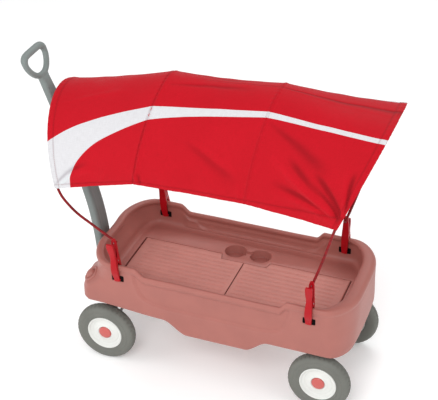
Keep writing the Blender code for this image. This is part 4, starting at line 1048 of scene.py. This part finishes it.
# Folds: height, width, fraction faded in by, fraction where it fades out, points as above
FOLDS = [
    (0.0052, 0.01, 0.1, 0.6, [(2.945, -0.992), (2.512, -0.838), (2.179, -0.645), (2.05, -0.56)]),
    (-0.005, 0.0085, 0.1, 0.55, [(2.96, -0.98), (2.57, -0.8), (2.25, -0.6)]),
    (0.0038, 0.007, 0.1, 0.6, [(2.93, -0.975), (2.673, -0.855), (2.482, -0.745), (2.36, -0.66)]),
    (-0.0038, 0.0062, 0.1, 0.6, [(2.965, -0.965), (2.73, -0.82), (2.54, -0.69)]),
    (0.003, 0.0075, 0.1, 0.55, [(2.975, -0.96), (2.86, -0.79), (2.79, -0.6)]),
    (-0.003, 0.007, 0.1, 0.55, [(2.985, -0.95), (2.915, -0.8), (2.88, -0.62)]),
    (0.0026, 0.0085, 0.1, 0.5, [(2.94, -0.996), (2.52, -0.925), (2.18, -0.87)]),
    (-0.003, 0.008, 0.1, 0.5, [(2.95, -0.992), (2.52, -0.89), (2.15, -0.79)]),
    (-0.0011, 0.015, 0.3, 0.7, [(1.4, -0.62), (1.66, -0.74), (1.938, -0.849)]),
    (0.0014, 0.013, 0.3, 0.7, [(1.44, -0.585), (1.7, -0.7), (1.96, -0.8)]),
    (0.003, 0.0055, 0.15, 0.55, [(1.05, -0.995), (1.006, -0.928), (0.985, -0.86)]),
    (-0.002, 0.005, 0.15, 0.55, [(1.075, -0.995), (1.045, -0.93), (1.03, -0.88)]),
    (0.002, 0.0065, 0.15, 0.55, [(1.955, -0.995), (1.935, -0.93), (1.92, -0.84)]),
    (0.002, 0.0085, 0.15, 0.55, [(0.03, -0.985), (0.26, -0.9), (0.56, -0.85)]),
    (-0.0016, 0.008, 0.15, 0.55, [(0.03, -0.96), (0.23, -0.86), (0.5, -0.8)]),
    (0.0014, 0.01, 0.15, 0.55, [(0.55, -0.985), (0.62, -0.92), (0.66, -0.84)]),
    (-0.0016, 0.016, 0.3, 0.6, [(2.05, -0.4), (2.4, -0.56), (2.72, -0.74)]),
    (0.0014, 0.014, 0.3, 0.6, [(0.12, -0.3), (0.45, -0.24), (0.8, -0.2)]),
    (-0.0014, 0.012, 0.3, 0.6, [(1.08, -0.16), (1.45, -0.1), (1.86, -0.08)])]
FOLD_GAIN = 1.45


def rib_points(rib, fraction, inset=0.0):
    """Points on a rib; fraction runs from -1 at the near hem over 0 at the ridge to 1."""
    hem_x, hem_z, mid_x, top_x, top_z, power = rib
    fraction = np.asarray(fraction, float)
    angle = (1 - np.abs(fraction)) * pi / 2
    out = np.maximum(np.cos(angle), 0) ** (2 / power)
    up = np.maximum(np.sin(angle), 0) ** (2 / power)
    return np.stack([
        hem_x * (1 - up) * (1 - 2 * up) + 4 * mid_x * up * (1 - up) + top_x * up * (2 * up - 1),
        np.sign(fraction) * (RIB_HALF_WIDTH - inset) * out,
        hem_z + (top_z - inset - hem_z) * up], -1)


def sheet(ribs, fractions):
    """Grid of points, straight between neighbouring ribs."""
    base = [rib_points(rib, fractions) for rib in RIBS]
    grid = []
    for rib in ribs:
        i = min(int(rib), 2)
        grid.append(base[i] * (1 - (rib - i)) + base[i + 1] * (rib - i))
    return np.array(grid)


def on_cloth(outline, step=0.01):
    """Outline in cloth lengths, smoothed; carries on evenly beyond the end ribs."""
    points = []
    for rib, fraction in outline:
        i = int(np.clip(rib, 0, 2))
        along = RIB_AT[i] + (rib - i) * (RIB_AT[i + 1] - RIB_AT[i])
        points.append((along, fraction * HALF_CLOTH, 0.0))
    return spline(points, step)[:, :2]


def polygon_distance(x, y, polygon):
    """Signed distance to a closed polygon; positive inside."""
    best = np.full(x.shape, 1e9)
    inside = np.zeros(x.shape, bool)
    for start, end in zip(polygon, np.roll(polygon, -1, 0)):
        best = np.minimum(best, to_segment(x, y, start, end)[1])
        slope = (end[0] - start[0]) / (end[1] - start[1] + 1e-15)
        crosses = (start[1] > y) != (end[1] > y)
        inside ^= crosses & (x < slope * (y - start[1]) + start[0])
    return np.where(inside, 1, -1) * best


def fold_line(points, width, fade_in, fade_out, x, y):
    """Bell across a line that widens along it, fading in at its start and out at its end."""
    line = on_cloth(points, 0.012)
    lengths = path_lengths(line)
    best = np.full(x.shape, 1e9)
    at = np.zeros(x.shape)
    for i in range(len(line) - 1):
        t, distance = to_segment(x, y, line[i], line[i + 1])
        closer = distance < best
        best = np.where(closer, distance, best)
        here = (lengths[i] + t * (lengths[i + 1] - lengths[i])) / lengths[-1]
        at = np.where(closer, here, at)
    fade = (0.35 + 0.65 * ease(at / fade_in)) * (1 - ease((at - fade_out) / (1 - fade_out)))
    return bell(best, width * (0.45 + 0.9 * at)) * fade


def merged_stations(*lists):
    return np.unique(np.round(np.concatenate(lists), 5))


def band(distance, width):
    return 1 - ease((distance - width + 0.001) / 0.002)


# Grid stations, denser at the seams, edges and ridge
BY_SEAM = np.array([0.003, 0.007, 0.012, 0.018, 0.026])
rib_list = merged_stations(np.linspace(0, 3, 190), *([k] - BY_SEAM for k in (1, 2)), [1, 2],
                           *([k] + BY_SEAM for k in (1, 2)), np.linspace(0, 0.09, 16),
                           np.linspace(2.91, 3.0, 16))
half_list = merged_stations(np.linspace(0, 1, 100), np.linspace(0.955, 1.0, 14),
                            np.linspace(0, 0.04, 8))
fraction_list = np.concatenate([-half_list[::-1], half_list[1:]])
base_sheet = sheet(rib_list, fraction_list)
normals = np.cross(np.gradient(base_sheet, rib_list, axis=0),
                   np.gradient(base_sheet, fraction_list, axis=1))
normals /= np.maximum(np.linalg.norm(normals, axis=-1, keepdims=True), 1e-9)
normals *= np.sign(normals[len(rib_list) // 2, len(fraction_list) // 2, 2])

rib, fraction = np.meshgrid(rib_list, fraction_list, indexing="ij")
along = np.interp(rib, [0, 1, 2, 3], RIB_AT)
across = fraction * HALF_CLOTH
from_seam_1, from_seam_2 = along - RIB_AT[1], along - RIB_AT[2]
from_rear = RIB_AT[3] - along
from_hem = HALF_CLOTH - np.abs(across)


def fold_relief():
    relief = np.zeros_like(along)
    for mirrored, strength in ((across, 1.0), (-across, 0.8)):  # near side, far side
        folds = sum(height * fold_line(points, width, fade_in, fade_out, along, mirrored)
                    for height, width, fade_in, fade_out, points in FOLDS)
        relief += np.where(mirrored < 0.05, folds * FOLD_GAIN * strength, 0)
    return relief


def cloth_relief(folds, crease):
    """Height of the cloth off the plain sheet."""
    mid_span = np.sin(pi * (rib - np.clip(np.floor(rib), 0, 2)))
    # sag between ribs, and two sizes of ripple
    height = -(0.0022 + 0.0050 * ease(1 - np.abs(fraction))) * mid_span
    height += 0.0012 * np.sin(along * 31 + fraction * 4) * np.sin(across * 23 + 1.1) * mid_span
    height += (0.0007 * np.sin(along * 67 + 2.0 + fraction * 9) * np.sin(across * 41 + 0.4)
               * mid_span)
    height += folds
    # the two cross seams and their puckers
    height += (-0.0016 * bell(from_seam_1, 0.0022) + 0.0012 * bell(from_seam_1 - 0.0065, 0.0045)
               + 0.0006 * bell(from_seam_1 + 0.0070, 0.0050))
    height += 0.0014 * bell(from_seam_2, 0.0050) - 0.0008 * bell(from_seam_2 - 0.0080, 0.0020)
    height += (0.0006 * np.sin(across * 2 * pi / 0.021)
               * (bell(from_seam_1, 0.012) + bell(from_seam_2, 0.012)))
    # doubled cloth at the hems and the front and rear edges
    hem_band = band(from_hem, 0.0150)
    height += (0.0009 * hem_band - 0.0007 * bell(from_hem - HEM_SEAM, 0.0012)
               + 0.0004 * np.sin(along * 2 * pi / 0.034) * hem_band)
    for distance in (along, from_rear):
        edge_band = band(distance, 0.0230)
        height += (0.0008 * edge_band + 0.0016 * bell(distance - 0.0095, 0.0065)
                   - 0.0007 * bell(distance - EDGE_SEAM, 0.0013))
        height += 0.0004 * np.sin(across * 2 * pi / 0.027) * edge_band
    height += (0.0009 * bell(across + 0.004, 0.0060) - 0.0018 * bell(across - 0.006, 0.0036)) * crease
    # calm large heights near the front and rear edges, so the hoops stay covered
    calm = 0.25 + 0.75 * ease(np.minimum(along, from_rear) / 0.03)
    height = np.where(np.abs(height) > 0.0022, height * calm, height)
    return np.minimum(height - 0.0012, 0.0040)


def stripe_distance():
    polygon = np.concatenate([on_cloth(STRIPE_TOP), on_cloth(STRIPE_BOTTOM)[::-1],
                              [[-0.03, -1.12 * HALF_CLOTH]]])
    far_drop = np.where(fraction > 0, 0.09 * ease((rib - 0.9) / 1.2), 0)
    return polygon_distance(along, -(np.abs(fraction) + far_drop) * HALF_CLOTH, polygon)


# a crease along the ridge, deepening to the rear
ridge_crease = ease((rib - 1.05) / 0.45) * (0.45 + 0.55 * ease(rib - 1.5))
folds = fold_relief()
outside = base_sheet + normals * cloth_relief(folds, ridge_crease)[..., None]


def build_canopy():
    points, faces = grid_part(outside, wrap_columns=False)
    count = len(points)
    faces += [[i + count for i in face[::-1]] for face in faces]
    ids = np.arange(count).reshape(rib.shape)
    rim = np.concatenate([ids[0], ids[1:, -1], ids[-1, -2::-1], ids[-2:0:-1, 0]])
    rim_next = np.roll(rim, -1)
    faces += np.stack([rim, rim_next, rim_next + count, rim + count], -1).tolist()
    inside = (outside - normals * CLOTH_THICK).reshape(-1, 3)
    canopy = make("canopy_sheet", (np.concatenate([points, inside]), faces), FABRIC, smooth=60)

    seam = np.minimum.reduce([
        np.maximum(np.abs(from_seam_1 + 0.0005) - 0.0012, 0), np.abs(from_seam_2) + 0.0012,
        np.abs(along - EDGE_SEAM), np.abs(from_rear - EDGE_SEAM), np.abs(from_hem - HEM_SEAM)])
    # drives the painted fold shade and highlight, and paints a shade line along the ridge crease
    fold_painted_shading = folds - 0.0036 * bell(across - 0.005, 0.0042) * ridge_crease
    for name, field in (("stripe", stripe_distance()), ("seam", seam), ("fold_painted_shading", fold_painted_shading)):
        attribute = canopy.data.attributes.new(name, "FLOAT", "POINT")
        attribute.data.foreach_set("value", np.tile(field.ravel(), 2).astype(np.float32))
    cloth = np.stack([along, across, np.zeros_like(along)], -1).reshape(-1, 3)
    attribute = canopy.data.attributes.new("cloth", "FLOAT_VECTOR", "POINT")
    attribute.data.foreach_set("vector", np.tile(cloth, (2, 1)).astype(np.float32).ravel())
    register(canopy, replaces=["canopy_fabric"])
    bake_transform(canopy)


def surface_at(cloth_along, cloth_across):
    """Point and normal of the outside of the cloth."""
    x = np.interp(cloth_along, RIB_AT, [0, 1, 2, 3])
    y = cloth_across / HALF_CLOTH
    i = np.clip(np.searchsorted(rib_list, x) - 1, 0, len(rib_list) - 2)
    j = np.clip(np.searchsorted(fraction_list, y) - 1, 0, len(fraction_list) - 2)
    u = (x - rib_list[i]) / (rib_list[i + 1] - rib_list[i])
    v = (y - fraction_list[j]) / (fraction_list[j + 1] - fraction_list[j])
    point = (outside[i, j] * (1 - u) * (1 - v) + outside[i + 1, j] * u * (1 - v)
             + outside[i, j + 1] * (1 - u) * v + outside[i + 1, j + 1] * u * v)
    return point, normals[i, j]


def stitch_row(start, end, pitch=0.0062, length=0.0040, radius=0.00042):
    """Parts for a straight row of stitches, each a thin spindle lying on the cloth."""
    start, end = np.array(start), np.array(end)
    total = np.linalg.norm(end - start)
    parts = []
    t = 0.002
    while t + length < total:
        first, normal = surface_at(*(start + (end - start) * (t / total)))
        last, _ = surface_at(*(start + (end - start) * ((t + length) / total)))
        side = np.cross((last - first) / np.linalg.norm(last - first), normal)
        rings = []
        for centre, lift, width in ((first, 0, 0.2), ((first + last) / 2, 0.00035, 1),
                                    (last, 0, 0.2)):
            lifted = centre + normal * lift
            rings.append([lifted + side * radius * width, lifted + normal * radius * width,
                          lifted - side * radius * width, centre - normal * radius])
        parts.append(grid_part(rings))
        t += pitch
    return parts


def build_stitching():
    margin = 0.006
    side, rear = HALF_CLOTH - margin, RIB_AT[3] - margin
    parts = []
    for x in (EDGE_SEAM, RIB_AT[3] - EDGE_SEAM, RIB_AT[1] + 0.0060, RIB_AT[1] - 0.0045,
              RIB_AT[2] + 0.0045, RIB_AT[2] - 0.0045):
        parts += stitch_row((x, -side), (x, side))
    for y in (-(HALF_CLOTH - HEM_SEAM), HALF_CLOTH - HEM_SEAM):
        parts += stitch_row((margin, y), (rear, y))
    stitches = make("canopy_stitching", merged(parts), THREAD, smooth=60, slot="canopy_fabric")
    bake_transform(stitches)


build_canopy()
build_stitching()

# ------------------------------------------------------------------ hoops, stays and sleeves
# Near leg of each hoop, from its foot up to the arch: x, y, z
FRONT_LEG = [
    (-0.3795, -ROD_Y, 0.5475), (-0.3852, -ROD_Y, 0.5517), (-0.42, -0.2115, 0.573),
    (-0.482, -0.213, 0.6122), (-0.527, -0.2155, 0.6428), (-0.562, -0.2185, 0.678),
    (-0.587, -0.2205, 0.712), (-0.6, -0.2225, 0.748)]
REAR_LEG = [
    (0.366, -ROD_Y, 0.5465), (0.368, -ROD_Y, 0.553), (0.396, -0.214, 0.645),
    (0.421, -0.219, 0.735), (0.437, -0.222, 0.796)]


def tube(name, path, radii, sides, material, body, smooth, slot, replaces=()):
    rings = sweep(path, [circle(sides) * radius for radius in radii], up=(1, 0, 0.05))
    make(name, grid_part(rings), material, body, smooth, replaces, slot)


def rib_path(rib, limit, count, inset, gap):
    """Rib from side to side, without points closer than `gap` to the last one kept."""
    fractions = np.concatenate([np.linspace(-limit, 0, count), np.linspace(0, limit, count)[1:]])
    points = rib_points(rib, fractions, inset)
    kept = [points[0]]
    for point in points[1:]:
        if np.linalg.norm(point - kept[-1]) > gap:
            kept.append(point)
    return np.array(kept)


def build_hoop(end, rib, inward, leg, body):
    """Hoop rod and its sleeve, set in from the edge of the cloth by `inward`."""
    rib = rib + inward * np.array([1, 0, 1, 1, 0, 0])
    arch = rib_points(rib, np.linspace(-1, 0, 15)[2:], 0.003 + HOOP_R + 0.0015)
    near = spline(np.concatenate([leg, arch]), 0.010)
    path = np.concatenate([near, near[:-1][::-1] * [1, -1, 1]])
    lengths = path_lengths(path)
    from_foot = np.minimum(lengths, lengths[-1] - lengths)
    radii = (HOOP_R + 0.0006 * (1 - ease((from_foot - 0.012) / 0.004))
             + 0.0005 * bell(from_foot - 0.055, 0.006))
    tube(f"hoop_rod_{end}", path, radii, 20, ROD, body, 50, "canopy_rod", [f"{end}_hoop"])
    path = rib_path(rib, 0.985, 80, inset=0.0088, gap=0.004)
    lengths = path_lengths(path)
    radii = (0.0066 + 0.0004 * np.sin(lengths * 2 * pi / 0.019)
             + 0.0003 * np.sin(lengths * 2 * pi / 0.0071))
    tube(f"sleeve_{end}", path, radii, 20, BINDING, body, 60, "canopy_fabric")


def build_stay(end, rib):
    body = f"stay_{end}"
    path = rib_path(rib, 1, 60, inset=0.003 + STAY_R + 0.0012, gap=0.005)
    tube(f"stay_rod_{end}", path, np.full(len(path), STAY_R), 14, ROD, body, 50, "canopy_rod",
         [f"canopy_stay_{end}"])
    radii = 0.0045 + 0.0003 * np.sin(path_lengths(path) * 2 * pi / 0.017)
    tube(f"sleeve_rod_{end}", path[2:-2], radii[2:-2], 16, BINDING, body, 60, "canopy_fabric")


build_hoop("front", RIBS[0], 0.009, FRONT_LEG, "hoop_front")
build_hoop("rear", RIBS[3], -0.009, REAR_LEG, "root")
build_stay("front", RIBS[1])
build_stay("rear", RIBS[2])

# ------------------------------------------------------------------ CAD nodes that stay
PAINTED_NODES = ("front_bolster", "front_axle_carrier", "rear_axle_bracket_near",
                 "rear_axle_bracket_far")
for name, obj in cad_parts.items():
    if obj.hide_render:
        continue
    painted = name in PAINTED_NODES
    obj.data.materials.clear()
    obj.data.materials.append(PAINTED if painted else STEEL)
    if not name.startswith("clip_spring"):
        bevel = obj.modifiers.new("edge", "BEVEL")
        bevel.width = 0.0010 if painted else 0.0004
        bevel.segments = 2
        bevel.limit_method = "ANGLE"
        bevel.angle_limit = radians(40)
        bevel.use_clamp_overlap = True


# ------------------------------------------------------------------ stage
def build_floor():
    shader = Shader("floor_pale")
    tone = shader.ramp(shader.noise(scale=2.0), (0.3, 0.94), (0.7, 0.97))
    material = shader.surface({
        "Base Color": tone,
        "Roughness": 0.9,
        "Emission Color": (1, 1, 1, 1),
        "Emission Strength": 0.16,
        "Specular IOR Level": 0.1,
    })
    corners = [(-30, -30, 0), (30, -30, 0), (30, 30, 0), (-30, 30, 0)]
    floor = make("floor", (corners, [(0, 1, 2, 3)]), material, smooth=0)
    floor.location.z = -0.0005


def build_world():
    world = bpy.data.worlds.new("studio")
    bpy.context.scene.world = world
    world.use_nodes = True
    background = world.node_tree.nodes["Background"]
    background.inputs["Color"].default_value = (1, 1, 1, 1)
    background.inputs["Strength"].default_value = 0.66


def build_light(name, place, target, size, power):
    light = bpy.data.lights.new(name, "AREA")
    light.shape, light.size, light.energy = "DISK", size, power
    obj = bpy.data.objects.new(name, light)
    bpy.context.scene.collection.objects.link(obj)
    obj.location = place
    obj.rotation_euler = (Vector(target) - Vector(place)).to_track_quat("-Z", "Y").to_euler()


def build_camera():
    """Long lens, turned by azimuth about z and looking down by elevation."""
    data = bpy.data.cameras.new("camera")
    camera = bpy.data.objects.new("camera", data)
    bpy.context.scene.collection.objects.link(camera)
    azimuth, elevation = radians(20.4587), radians(32.6373)
    right = np.array([cos(azimuth), sin(azimuth), 0])
    up = np.array([-sin(azimuth) * sin(elevation), cos(azimuth) * sin(elevation), cos(elevation)])
    forward = np.array([-sin(azimuth) * cos(elevation), cos(azimuth) * cos(elevation),
                        -sin(elevation)])
    place = -0.0550 * right + 0.2395 * up - 4.797 * forward + np.array([SHIFT, 0, HOLE_Z])
    rows = [[right[i], up[i], -forward[i], place[i]] for i in range(3)]
    camera.matrix_world = Matrix(rows + [[0, 0, 0, 1]])
    data.sensor_width = 36
    data.lens = 104.886329
    bpy.context.scene.camera = camera


build_floor()
build_world()
build_light("key", place=(0.3, -3.4, 3.3), target=(0, 0, 0.55), size=2.2, power=78)
build_light("fill", place=(-2.8, -1.6, 2.0), target=(0, 0, 0.5), size=2.4, power=24)
build_light("side", place=(3.0, -0.6, 2.6), target=(0, 0, 0.6), size=2.4, power=20)
build_light("back", place=(0.0, 2.6, 3.8), target=(0, 0, 0.7), size=2.6, power=40)
build_camera()
bpy.context.scene.view_settings.view_transform = "Standard"
